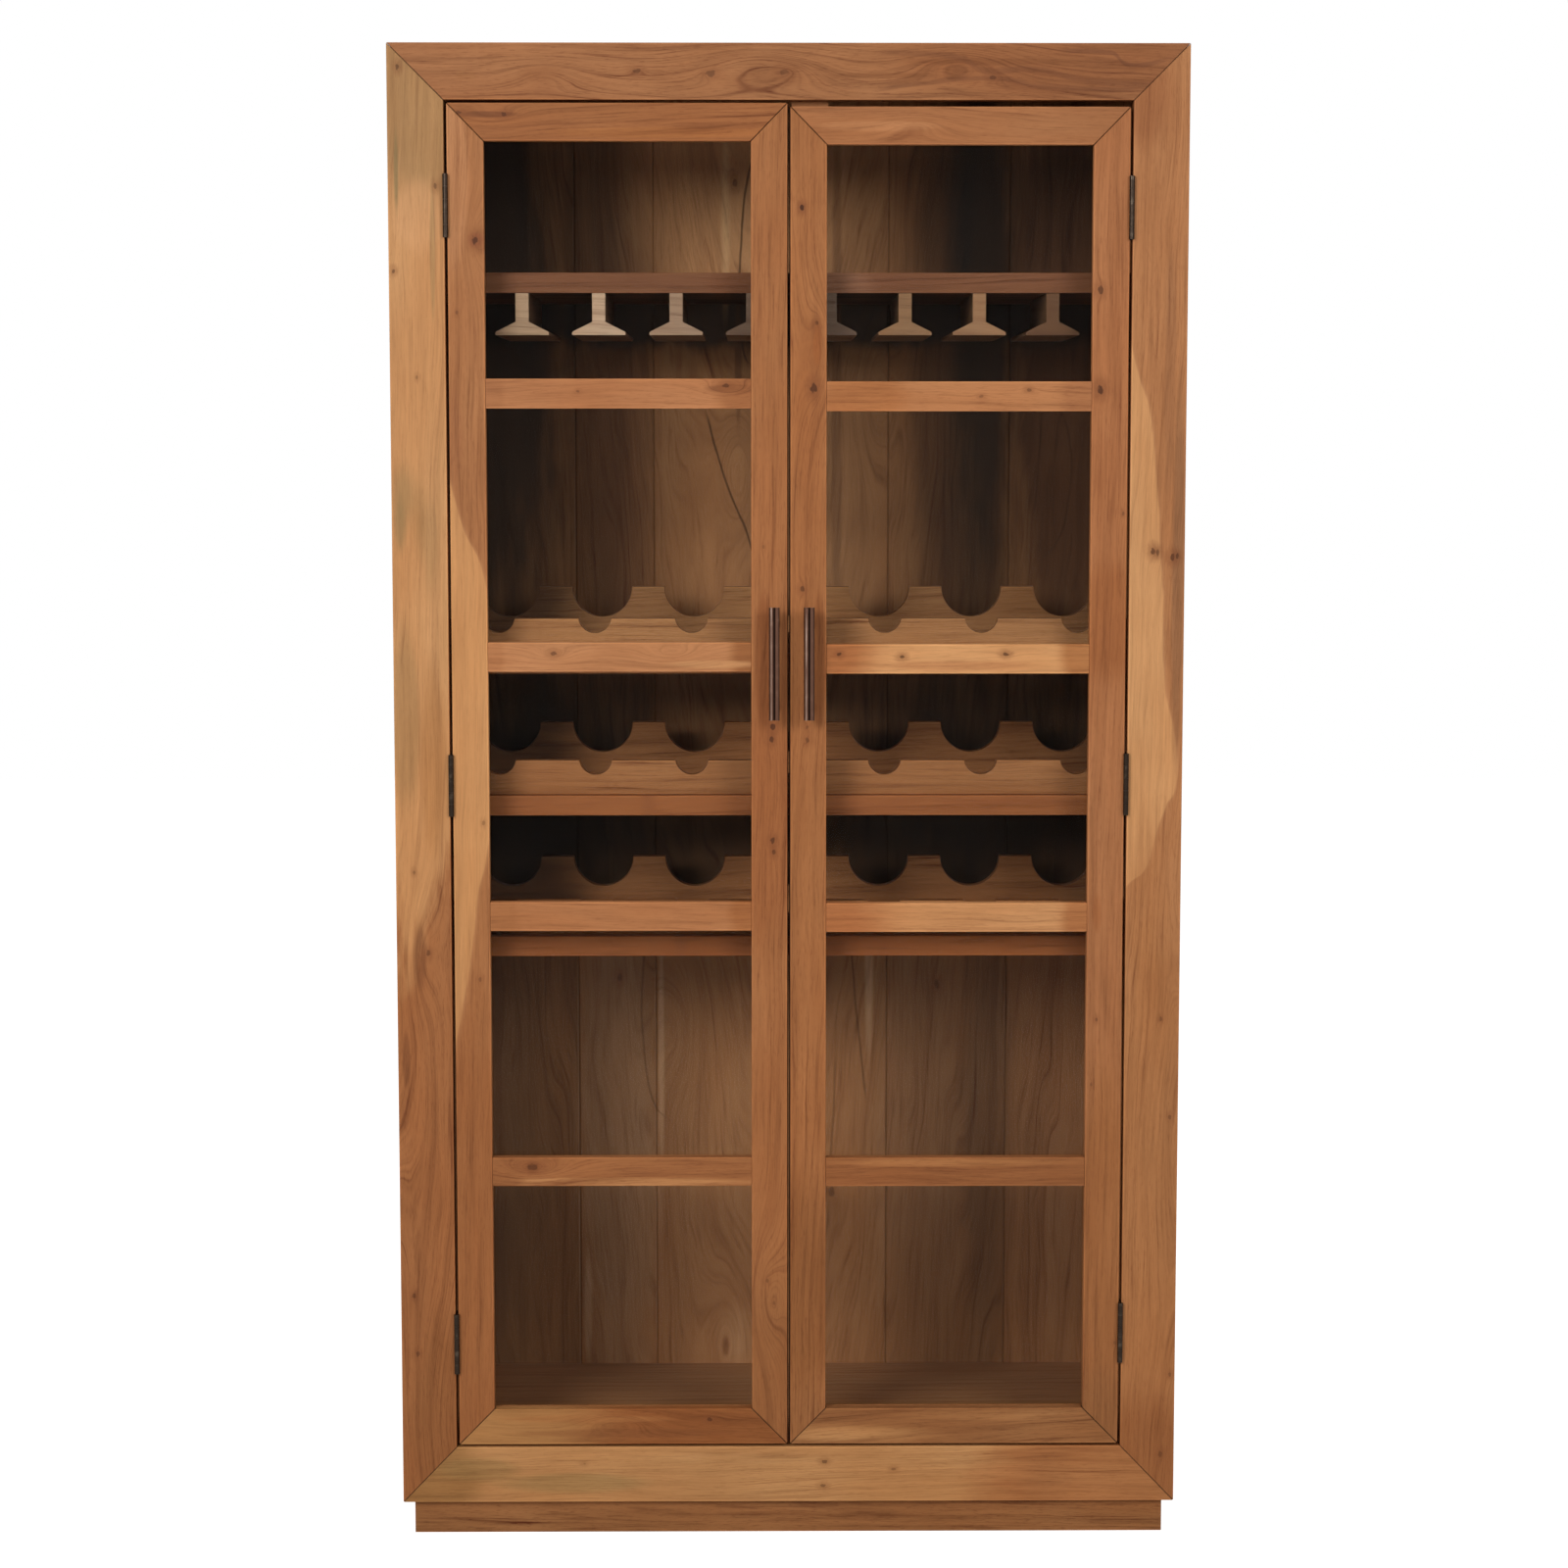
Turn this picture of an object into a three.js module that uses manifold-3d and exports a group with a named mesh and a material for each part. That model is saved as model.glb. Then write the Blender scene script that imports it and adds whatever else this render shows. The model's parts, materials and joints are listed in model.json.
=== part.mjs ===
// Two-door wine cabinet with a stemware rack, three bottle rows and glazed, framed doors.
// Millimetres, +Z up, front towards -Y. The origin is on the floor, under the centre of the
// cabinet's overall box. Inside the model the face frame's front is the plane y = 0.

import * as THREE from 'three';
import { mergeVertices } from 'three/addons/utils/BufferGeometryUtils.js';
import Module from 'manifold-3d';

const wasm = await Module();
wasm.setup();

// Overall sizes
const cabinetWidth = 944;
const cabinetHeight = 1800;
const cabinetDepth = 400;

// Boards of the case
const panelThickness = 25;
const floorThickness = 22;
const backThickness = 15;
const shelfThickness = 24;
const floorStepDown = 4;

// Face frame, mitred at its four corners
const faceThickness = 22;
const faceStileWidth = 66;
const faceTopRailWidth = 66;
const faceBottomRailWidth = 69;

// Plinth, set back under the case
const plinthHeight = 42;
const plinthSideInset = 13;
const plinthFrontInset = 12;
const plinthBackInset = 2;
const plinthBoardThickness = 20;

// Every glued or seated joint between two pieces has this much between their faces
const fitGap = 0.2;

// Butt hinges, with the knuckle standing clear in front of the face
const hingeLength = 74;
const hingeLeafDepth = 18;
const hingeLeafThickness = 1.2;
const hingeLeafClearance = 0.4;
const hingeKnuckleCount = 5;
const hingeAxialGap = 0.3;
const hingePinRadius = 1.5;
const hingePinClearance = 0.08;
const hingeKnuckleWall = 1.62;
const hingeKnuckleClearance = 0.4;
const hingeBridgeOverlap = 1;
const hingeFromDoorEnd = 127;
const hingesPerDoor = 3;
// How far each hinge sits above its even place, from the top one down
const leftHingeLifts = [7.5, 2.5, -0.5];
const rightHingeLifts = [5.5, 3.5, 12];
const hingeFacets = 24;

// Doors
const doorThickness = 22;
const rightDoorShorter = 4;
const doorStileWidth = 43;
const doorRailWidth = 44;
const muntinWidth = 35;
const muntinsPerDoor = 4;
const glassThickness = 4;
const rabbetWidth = 8;
const rabbetFromFront = 14;

// Pull handles: a grooved bar on two posts
const handleLength = 134;
const handleBarWidth = 12.6;
const handleBarDepth = 8;
const handleRidgeCount = 2;
const handleRidgeSteps = 8;
const handleStandOff = 22;
const handlePostRadius = 4.5;
const handlePostFromEnd = 18;
const handlePostFacets = 24;
const handleCentreHeight = 1072;
const leftHandleFromEdge = 15.7;
const rightHandleFromEdge = 22.2;

// Stemware rack: a board with inverted T rails under it, whose places are shares of their pitch
const rackBoardDrop = 264;
const interiorSetback = 38;
const glassRailPitch = 91;
const glassRailPlaceShares = [-3.51, -2.5, -1.48, -0.47, 0.55, 1.54, 2.52, 3.49];
const glassRailLength = 240;
const glassRailNeckWidth = 16;
const glassRailNeckHeight = 34;
const glassRailBaseWidth = 64;
const glassRailBaseHeight = 16;
const glassRailBaseLip = 4;

// Bottle rows: a shelf, a low rail for the necks and a high rail for the bodies
const bottleRowCount = 3;
const lowestShelfTop = 733;
const bottleRowPitch = 173;
const bottlePitch = 117.5;
const bottleRailEndLand = 12;
const bottleRailThickness = 18;
const neckRailHeight = 41.5;
const neckScallopRadius = 20;
const neckScallopDepth = 17.3;
const neckRailSetback = 15;
const bodyRailHeight = 72;
const bodyScallopRadius = 38;
const bodyScallopDepth = 38;
const bodyRailSpacing = 195;
const scallopSteps = 16;

// Back boards, with a V joint between neighbours
const backJointPlaces = [-274, -172, -20, 133, 291];
const backJointWidth = 3;
const backJointDepth = 1.5;

// Door stop under the top panel
const stopBlockWidth = 44;
const stopBlockFromCentre = 3;
const stopBlockDepth = 22;
const stopBlockBelowRail = 14;

// Worked out from the sizes above
const doorGap = 2 * (hingeLeafThickness + fitGap + hingeLeafClearance);
const openingWidth = cabinetWidth - 2 * faceStileWidth;
const openingBottom = plinthHeight + faceBottomRailWidth;
const openingTop = cabinetHeight - faceTopRailWidth;
const doorWidth = (openingWidth - 3 * doorGap) / 2;
const doorHeight = openingTop - openingBottom - 2 * doorGap;
const doorBottom = openingBottom + doorGap;
const innerWidth = cabinetWidth - 2 * panelThickness;
const innerFront = faceThickness + fitGap;
const backFront = cabinetDepth - backThickness;
const interiorFront = faceThickness + interiorSetback;
const floorTop = openingBottom - floorStepDown;
const hingeKnuckleRadius = hingePinRadius + hingePinClearance + hingeKnuckleWall;
const hingeAxisForward = hingeKnuckleRadius + hingeKnuckleClearance;
const handleFront = handleStandOff + handleBarDepth;
const shelfBack = backFront - fitGap;

function material(color, roughness, metalness) {
  return new THREE.MeshStandardMaterial({ color, roughness, metalness });
}

const finishes = {
  frame: () => material(0xaf7148, 0.5, 0),
  door: () => material(0xb5784c, 0.5, 0),
  carcass: () => material(0xa56a42, 0.55, 0),
  interior: () => material(0x8a5a3a, 0.6, 0),
  rack: () => material(0xbea082, 0.6, 0),
  plinth: () => material(0x875a37, 0.6, 0),
  glass: () => material(0xdfeaea, 0.05, 0),
  steel: () => material(0x5a5550, 0.4, 0.9),
  bronze: () => material(0x5a3c32, 0.45, 0.7),
};

function named(name, geometry, finish) {
  const mesh = new THREE.Mesh(geometry, finishes[finish]());
  mesh.name = name;
  return mesh;
}

// A plain board given by its two opposite corners.
function board(name, low, high, finish) {
  const size = high.map((value, index) => value - low[index]);
  const mesh = named(name, new THREE.BoxGeometry(...size), finish);
  mesh.position.set(...high.map((value, index) => (value + low[index]) / 2));
  return mesh;
}

// Indexed geometry from a list of corner points and triangles.
function geometryFrom(points, triangles) {
  const geometry = new THREE.BufferGeometry();
  geometry.setAttribute('position', new THREE.Float32BufferAttribute(points.flat(), 3));
  geometry.setIndex(triangles.flat());
  geometry.computeVertexNormals();
  return geometry;
}

// A frame member along X. Its section is a list of [across, depth] corners: across runs from the
// outer edge (z = 0) to the inner edge, depth runs back along Y. Each end is set back by its own
// amount at the inner edge, which gives a mitre, or is square where that amount is zero.
function member(length, width, section, startSetback, endSetback) {
  const start = section.map(([across, depth]) => {
    const setback = startSetback ? across / width * startSetback + fitGap : 0;
    return [-length / 2 + setback, depth, across];
  });
  const end = section.map(([across, depth]) => {
    const setback = endSetback ? across / width * endSetback + fitGap : 0;
    return [length / 2 - setback, depth, across];
  });
  const count = section.length;
  const outline = section.map(([across, depth]) => new THREE.Vector2(across, depth));
  const caps = THREE.ShapeUtils.triangulateShape(outline, []);
  const flip = THREE.ShapeUtils.isClockWise(outline);
  const triangles = [];
  const add = (a, b, c) => triangles.push(flip ? [a, c, b] : [a, b, c]);
  caps.forEach(([a, b, c]) => {
    add(a, c, b);
    add(a + count, b + count, c + count);
  });
  for (let corner = 0; corner < count; corner += 1) {
    const next = (corner + 1) % count;
    add(corner, next, next + count);
    add(corner, next + count, corner + count);
  }
  // The section's plane is (z, y), which is left-handed seen from +X, so the order is turned.
  const turned = triangles.map(([a, b, c]) => [a, c, b]);
  return geometryFrom([...start, ...end], turned);
}

function rectangleSection(width, thickness) {
  return [[0, 0], [width, 0], [width, thickness], [0, thickness]];
}

// Turns a member so that its outer edge lies on the named side of a frame.
const sideTurn = {
  bottom: 0,
  left: Math.PI / 2,
  top: Math.PI,
  right: -Math.PI / 2,
};

function placedMember(name, side, geometry, x, y, z, finish) {
  const mesh = named(name, geometry, finish);
  mesh.rotation.y = sideTurn[side];
  mesh.position.set(x, y, z);
  return mesh;
}

// Extrudes an outline drawn in X and Z along +Y.
function extrudeBack(outline, depth) {
  const shape = new THREE.Shape(outline.map(([x, z]) => new THREE.Vector2(x, z)));
  const geometry = new THREE.ExtrudeGeometry(shape, { depth, bevelEnabled: false });
  geometry.rotateX(Math.PI / 2);
  geometry.translate(0, depth, 0);
  return geometry;
}

// Extrudes an outline drawn in X and Y along +Z.
function extrudeUp(outline, depth) {
  const shape = new THREE.Shape(outline.map(([x, y]) => new THREE.Vector2(x, y)));
  return new THREE.ExtrudeGeometry(shape, { depth, bevelEnabled: false });
}

function solidOf(geometry) {
  const bare = geometry.clone();
  bare.deleteAttribute('normal');
  bare.deleteAttribute('uv');
  const merged = mergeVertices(bare);
  const mesh = new wasm.Mesh({
    numProp: 3,
    vertProperties: new Float32Array(merged.attributes.position.array),
    triVerts: new Uint32Array(merged.index.array),
  });
  return new wasm.Manifold(mesh);
}

function geometryOf(solid) {
  const mesh = solid.getMesh();
  const geometry = new THREE.BufferGeometry();
  geometry.setAttribute('position', new THREE.BufferAttribute(mesh.vertProperties, 3));
  geometry.setIndex(new THREE.BufferAttribute(mesh.triVerts, 1));
  geometry.computeVertexNormals();
  return geometry;
}

function boxGeometry(low, high) {
  const size = high.map((value, index) => value - low[index]);
  const middle = high.map((value, index) => (value + low[index]) / 2);
  return new THREE.BoxGeometry(...size).translate(...middle);
}

// An upright cylinder whose corners lie on the radius.
function uprightCylinder(radius, low, high) {
  const geometry = new THREE.CylinderGeometry(radius, radius, high - low, hingeFacets);
  return geometry.rotateX(Math.PI / 2).translate(0, 0, (low + high) / 2);
}

// Carcass
function sidePanel(name, side) {
  const height = cabinetHeight - plinthHeight;
  const depth = cabinetDepth - innerFront;
  const section = rectangleSection(panelThickness, depth);
  // A member turned to the left side starts at its top, one turned to the right ends there.
  const atTop = [side < 0 ? panelThickness : 0, side < 0 ? 0 : panelThickness];
  const geometry = member(height, panelThickness, section, ...atTop);
  const place = [side * cabinetWidth / 2, innerFront, plinthHeight + height / 2];
  return placedMember(name, side < 0 ? 'left' : 'right', geometry, ...place, 'carcass');
}

function topPanel() {
  const depth = cabinetDepth - innerFront;
  const section = rectangleSection(panelThickness, depth);
  const panel = member(cabinetWidth, panelThickness, section, panelThickness, panelThickness);
  panel.rotateY(Math.PI);
  panel.translate(0, innerFront, cabinetHeight);
  const underside = cabinetHeight - panelThickness;
  const low = [stopBlockFromCentre, innerFront, openingTop - stopBlockBelowRail];
  const high = [stopBlockFromCentre + stopBlockWidth, innerFront + stopBlockDepth,
    underside + panelThickness / 2];
  const solid = solidOf(panel).add(solidOf(boxGeometry(low, high)));
  return named('top_panel', geometryOf(solid), 'carcass');
}

function floorPanel() {
  const half = innerWidth / 2 - fitGap;
  const low = [-half, innerFront, floorTop - floorThickness];
  return board('floor_panel', low, [half, shelfBack, floorTop], 'interior');
}

function backPanel() {
  const half = innerWidth / 2 - fitGap;
  const bottom = plinthHeight;
  const top = cabinetHeight - panelThickness - fitGap;
  const outline = [[half, cabinetDepth], [-half, cabinetDepth], [-half, backFront]];
  backJointPlaces.forEach((place) => {
    outline.push([place - backJointWidth / 2, backFront]);
    outline.push([place, backFront + backJointDepth]);
    outline.push([place + backJointWidth / 2, backFront]);
  });
  outline.push([half, backFront]);
  const mesh = named('back_panel', extrudeUp(outline, top - bottom), 'interior');
  mesh.position.z = bottom;
  return mesh;
}

function faceFrame() {
  const group = new THREE.Group();
  const height = cabinetHeight - plinthHeight;
  const middle = plinthHeight + height / 2;
  const stile = rectangleSection(faceStileWidth, faceThickness);
  [['left', -1], ['right', 1]].forEach(([side, sign]) => {
    // The left member starts at its top, the right member ends there.
    const ends = [faceTopRailWidth, faceBottomRailWidth];
    if (sign > 0) {
      ends.reverse();
    }
    const geometry = member(height, faceStileWidth, stile, ...ends);
    const place = [sign * cabinetWidth / 2, 0, middle];
    group.add(placedMember(`face_stile_${side}`, side, geometry, ...place, 'frame'));
  });
  const rails = [['top', faceTopRailWidth, cabinetHeight], ['bottom', faceBottomRailWidth, plinthHeight]];
  rails.forEach(([side, width, z]) => {
    const section = rectangleSection(width, faceThickness);
    const geometry = member(cabinetWidth, width, section, faceStileWidth, faceStileWidth);
    group.add(placedMember(`face_rail_${side}`, side, geometry, 0, 0, z, 'frame'));
  });
  return group;
}

// The plinth is one frame, glued up from four boards.
function plinth() {
  const half = cabinetWidth / 2 - plinthSideInset;
  const back = cabinetDepth - plinthBackInset;
  const top = plinthHeight - fitGap;
  const outer = [[-half, plinthFrontInset], [half, plinthFrontInset], [half, back], [-half, back]];
  const innerHalf = half - plinthBoardThickness;
  const innerLow = plinthFrontInset + plinthBoardThickness;
  const innerHigh = back - plinthBoardThickness;
  const hole = [[-innerHalf, innerLow], [-innerHalf, innerHigh], [innerHalf, innerHigh],
    [innerHalf, innerLow]];
  const shape = new THREE.Shape(outer.map(([x, y]) => new THREE.Vector2(x, y)));
  shape.holes.push(new THREE.Path(hole.map(([x, y]) => new THREE.Vector2(x, y))));
  return named('plinth', new THREE.ExtrudeGeometry(shape, { depth: top, bevelEnabled: false }), 'plinth');
}

// Stemware rack
function glassRailOutline() {
  const neck = glassRailNeckWidth / 2;
  const base = glassRailBaseWidth / 2;
  const neckBottom = -glassRailNeckHeight;
  const bottom = neckBottom - glassRailBaseHeight;
  const right = [[neck, 0], [neck, neckBottom], [base, bottom + glassRailBaseLip], [base, bottom]];
  const left = right.map(([x, z]) => [-x, z]).reverse();
  return [...right, ...left];
}

function glassRack() {
  const group = new THREE.Group();
  const half = innerWidth / 2 - fitGap;
  const top = cabinetHeight - rackBoardDrop;
  const under = top - shelfThickness;
  group.add(board('rack_board', [-half, interiorFront, under], [half, shelfBack, top], 'interior'));
  glassRailPlaceShares.forEach((share, index) => {
    const rail = named(`glass_rail_${index + 1}`, extrudeBack(glassRailOutline(), glassRailLength), 'rack');
    rail.position.set(share * glassRailPitch, interiorFront, under - fitGap);
    group.add(rail);
  });
  return group;
}

// Outline of a scalloped rail: its base is z = 0 and each scallop is a circular arc.
function scallopedOutline(height, radius, depth) {
  const half = innerWidth / 2 - fitGap;
  const centreHeight = height - depth + radius;
  const halfWidth = Math.sqrt(radius ** 2 - (radius - depth) ** 2);
  const room = 2 * half - 2 * bodyScallopRadius - 2 * bottleRailEndLand;
  const count = Math.floor(room / bottlePitch) + 1;
  const halfAngle = Math.atan2(halfWidth, radius - depth);
  const outline = [[-half, 0], [half, 0], [half, height]];
  for (let index = count - 1; index >= 0; index -= 1) {
    const x = (index - (count - 1) / 2) * bottlePitch;
    for (let step = 0; step <= scallopSteps; step += 1) {
      const angle = halfAngle * (1 - 2 * step / scallopSteps);
      outline.push([x + radius * Math.sin(angle), centreHeight - radius * Math.cos(angle)]);
    }
  }
  outline.push([-half, height]);
  return outline;
}

function bottleRows() {
  const group = new THREE.Group();
  const half = innerWidth / 2 - fitGap;
  const neckRailFront = interiorFront + neckRailSetback;
  for (let row = 1; row <= bottleRowCount; row += 1) {
    const top = lowestShelfTop + (bottleRowCount - row) * bottleRowPitch;
    const low = [-half, interiorFront, top - shelfThickness];
    group.add(board(`shelf_${row}`, low, [half, shelfBack, top], 'interior'));
    const neckOutline = scallopedOutline(neckRailHeight, neckScallopRadius, neckScallopDepth);
    const neckRail = named(`neck_rail_${row}`, extrudeBack(neckOutline, bottleRailThickness), 'interior');
    neckRail.position.set(0, neckRailFront, top + fitGap);
    const bodyOutline = scallopedOutline(bodyRailHeight, bodyScallopRadius, bodyScallopDepth);
    const bodyRail = named(`bottle_rail_${row}`, extrudeBack(bodyOutline, bottleRailThickness), 'interior');
    bodyRail.position.set(0, neckRailFront + bodyRailSpacing, top + fitGap);
    group.add(neckRail, bodyRail);
  }
  return group;
}

// Hinges. Their own frame has the pin's axis as Z, the leaves run back along +Y, and the
// frame leaf lies on the -X side for a left door.
function hingeKnuckle(index) {
  const length = (hingeLength - (hingeKnuckleCount - 1) * hingeAxialGap) / hingeKnuckleCount;
  const low = index * (length + hingeAxialGap);
  return [low, low + length];
}

function leafBox(sign, front, back, low, high) {
  const outer = sign * (hingeLeafClearance + hingeLeafThickness);
  const inner = sign * hingeLeafClearance;
  return boxGeometry([Math.min(outer, inner), front, low], [Math.max(outer, inner), back, high]);
}

function hingeLeaf(sign, firstKnuckle) {
  const plateBack = hingeAxisForward + hingeLeafDepth;
  let solid = solidOf(leafBox(sign, hingeAxisForward, plateBack, 0, hingeLength));
  const bridgeFront = hingeKnuckleRadius - hingeBridgeOverlap;
  for (let index = firstKnuckle; index < hingeKnuckleCount; index += 2) {
    const [low, high] = hingeKnuckle(index);
    const plate = leafBox(sign, bridgeFront, plateBack, low, high);
    solid = solid.add(solidOf(uprightCylinder(hingeKnuckleRadius, low, high))).add(solidOf(plate));
  }
  return solid;
}

// The frame leaf carries the pin, which is riveted in its end knuckles.
function hingeFrameLeaf(sign) {
  const pin = uprightCylinder(hingePinRadius, 0, hingeLength);
  return geometryOf(hingeLeaf(sign, 0).add(solidOf(pin)));
}

function hingeDoorLeaf(sign) {
  const boreRadius = (hingePinRadius + hingePinClearance) / Math.cos(Math.PI / hingeFacets);
  const bore = uprightCylinder(boreRadius, -hingeAxialGap, hingeLength + hingeAxialGap);
  return geometryOf(hingeLeaf(-sign, 1).subtract(solidOf(bore)));
}

// side is -1 for the left door and 1 for the right door.
function hingeAxisX(side) {
  return side * (openingWidth / 2 - doorGap / 2);
}

function hinges(side, word) {
  const group = new THREE.Group();
  const lifts = side < 0 ? leftHingeLifts : rightHingeLifts;
  const lowest = doorBottom + hingeFromDoorEnd;
  const highest = doorBottom + doorHeight - hingeFromDoorEnd;
  for (let index = 0; index < hingesPerDoor; index += 1) {
    const middle = highest - (highest - lowest) * index / (hingesPerDoor - 1) + lifts[index];
    const leaves = [['frame_leaf', hingeFrameLeaf(side)], ['door_leaf', hingeDoorLeaf(side)]];
    leaves.forEach(([kind, geometry]) => {
      const mesh = named(`${word}_hinge_${kind}_${index + 1}`, geometry, 'steel');
      mesh.position.set(hingeAxisX(side), -hingeAxisForward, middle - hingeLength / 2);
      group.add(mesh);
    });
  }
  return group;
}

// Doors
function doorSection(width) {
  return [[0, 0], [width, 0], [width, rabbetFromFront], [width - rabbetWidth, rabbetFromFront],
    [width - rabbetWidth, doorThickness], [0, doorThickness]];
}

// The bar's front is a row of round ridges with sharp grooves between them.
function handleOutline() {
  const half = handleBarWidth / 2;
  const radius = half / handleRidgeCount;
  const outline = [[half, -handleStandOff], [-half, -handleStandOff]];
  for (let ridge = 0; ridge < handleRidgeCount; ridge += 1) {
    const middle = -half + (2 * ridge + 1) * radius;
    for (let step = ridge ? 1 : 0; step <= handleRidgeSteps; step += 1) {
      const angle = Math.PI * step / handleRidgeSteps;
      outline.push([middle - radius * Math.cos(angle), radius - handleFront - radius * Math.sin(angle)]);
    }
  }
  return outline;
}

function handleGeometry() {
  let solid = solidOf(extrudeUp(handleOutline(), handleLength));
  [handlePostFromEnd, handleLength - handlePostFromEnd].forEach((z) => {
    const reach = handleStandOff + handleBarDepth / 2 - fitGap;
    const post = new THREE.CylinderGeometry(handlePostRadius, handlePostRadius, reach, handlePostFacets);
    post.translate(0, -fitGap - reach / 2, z);
    solid = solid.add(solidOf(post));
  });
  return geometryOf(solid);
}

function door(side, word) {
  const group = new THREE.Group();
  const centre = side * (doorGap / 2 + doorWidth / 2);
  const height = side < 0 ? doorHeight : doorHeight - rightDoorShorter;
  const middle = doorBottom + height / 2;
  const hingeSide = side < 0 ? 'left' : 'right';
  const meetingSide = side < 0 ? 'right' : 'left';
  const stile = member(height, doorStileWidth, doorSection(doorStileWidth), doorRailWidth, doorRailWidth);
  const rail = member(doorWidth, doorRailWidth, doorSection(doorRailWidth), doorStileWidth, doorStileWidth);
  const outerX = centre + side * doorWidth / 2;
  const meetingX = centre - side * doorWidth / 2;
  group.add(placedMember(`${word}_hinge_stile`, hingeSide, stile, outerX, 0, middle, 'door'));
  group.add(placedMember(`${word}_meeting_stile`, meetingSide, stile.clone(), meetingX, 0, middle, 'door'));
  group.add(placedMember(`${word}_top_rail`, 'top', rail, centre, 0, doorBottom + height, 'door'));
  group.add(placedMember(`${word}_bottom_rail`, 'bottom', rail.clone(), centre, 0, doorBottom, 'door'));

  const lightHalf = doorWidth / 2 - doorStileWidth;
  const lightBottom = doorBottom + doorRailWidth;
  const lightHeight = height - 2 * doorRailWidth;
  const paneHeight = (lightHeight - muntinsPerDoor * muntinWidth) / (muntinsPerDoor + 1);
  for (let index = 1; index <= muntinsPerDoor; index += 1) {
    const top = lightBottom + lightHeight - index * paneHeight - (index - 1) * muntinWidth;
    const low = [centre - lightHalf + fitGap, 0, top - muntinWidth];
    const high = [centre + lightHalf - fitGap, rabbetFromFront, top];
    group.add(board(`${word}_muntin_${index}`, low, high, 'door'));
  }

  const glassHalf = lightHalf + rabbetWidth - fitGap;
  const glassLow = [centre - glassHalf, rabbetFromFront + fitGap, lightBottom - rabbetWidth + fitGap];
  const glassHigh = [centre + glassHalf, rabbetFromFront + fitGap + glassThickness,
    lightBottom + lightHeight + rabbetWidth - fitGap];
  group.add(board(`${word}_glass`, glassLow, glassHigh, 'glass'));

  const fromEdge = side < 0 ? leftHandleFromEdge : rightHandleFromEdge;
  const handle = named(`${word}_handle`, handleGeometry(), 'bronze');
  handle.position.set(meetingX + side * fromEdge, 0, handleCentreHeight - handleLength / 2);
  group.add(handle);
  return group;
}

function cabinet() {
  const group = new THREE.Group();
  group.name = 'wine_cabinet';
  group.add(sidePanel('side_panel_left', -1));
  group.add(sidePanel('side_panel_right', 1));
  group.add(topPanel());
  group.add(floorPanel());
  group.add(backPanel());
  group.add(faceFrame());
  group.add(plinth());
  group.add(glassRack());
  group.add(bottleRows());
  [['left_door', -1], ['right_door', 1]].forEach(([word, side]) => {
    group.add(door(side, word));
    group.add(hinges(side, word));
  });
  // The overall box runs from the handles' fronts to the back of the case.
  group.position.y = (handleFront - cabinetDepth) / 2;
  return group;
}

const group = cabinet();

export default group;
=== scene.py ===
"""Dresses the wine cabinet: oiled hardwood boards, clear panes, bronze pulls, steel hinges and their screws.

Sizes are in millimetres until a mesh is made, and every mesh is in metres in the frame's own place.
"""

from __future__ import annotations

import json
import logging
import math
from dataclasses import dataclass, field, replace
from enum import Enum

import bmesh
import bpy
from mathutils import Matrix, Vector

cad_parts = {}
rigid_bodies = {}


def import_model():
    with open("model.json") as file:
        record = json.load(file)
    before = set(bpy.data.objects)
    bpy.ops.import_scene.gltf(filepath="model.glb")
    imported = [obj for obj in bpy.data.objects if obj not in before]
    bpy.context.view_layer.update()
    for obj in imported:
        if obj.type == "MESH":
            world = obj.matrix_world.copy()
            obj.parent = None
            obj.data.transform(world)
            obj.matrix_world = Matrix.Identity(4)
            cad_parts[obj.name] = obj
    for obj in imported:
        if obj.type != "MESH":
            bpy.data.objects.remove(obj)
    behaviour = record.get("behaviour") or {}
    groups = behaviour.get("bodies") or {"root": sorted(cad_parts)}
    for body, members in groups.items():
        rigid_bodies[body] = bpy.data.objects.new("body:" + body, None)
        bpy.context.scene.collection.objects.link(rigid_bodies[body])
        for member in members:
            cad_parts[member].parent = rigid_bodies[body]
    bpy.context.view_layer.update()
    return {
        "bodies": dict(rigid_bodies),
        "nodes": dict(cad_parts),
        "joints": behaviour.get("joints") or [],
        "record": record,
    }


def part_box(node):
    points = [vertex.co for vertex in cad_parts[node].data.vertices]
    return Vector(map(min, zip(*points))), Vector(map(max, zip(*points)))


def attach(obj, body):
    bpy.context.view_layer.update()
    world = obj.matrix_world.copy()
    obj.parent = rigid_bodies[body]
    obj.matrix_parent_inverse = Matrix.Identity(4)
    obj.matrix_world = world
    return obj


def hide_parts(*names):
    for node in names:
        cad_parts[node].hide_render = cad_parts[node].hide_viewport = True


MM = 0.001
LOG = logging.getLogger("wine_cabinet")
Colour = tuple[int, int, int]
Line = tuple[tuple[float, float], ...]
Range = tuple[float, float]
WHITE = (1.0, 1.0, 1.0, 1.0)
BLACK = (0.0, 0.0, 0.0, 1.0)
HINGE_NUMBERS = (1, 2, 3)
POST_FROM_END = 18.0
BACKWARDS = math.radians(-90)
SHARP_ANGLE = 40.0
LOWEST_ROW = 770
ROW_PITCH = 173


class Axis(Enum):
    """The three axes of the cabinet's frame, by their place in a vector."""

    X = 0
    Y = 1
    Z = 2


class Side(Enum):
    """The two doors and the sign of X on which each one hangs."""

    LEFT = -1
    RIGHT = 1

    @property
    def door(self) -> str:
        """The name of the door's body."""
        return f"{self.name.lower()}_door"


class Slot(Enum):
    """The material slots of the pieces that are made here."""

    INSIDE = "interior_wood"
    DOOR = "door_wood"
    PULL = "handle_bronze"
    STEEL = "hinge_steel"


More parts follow.
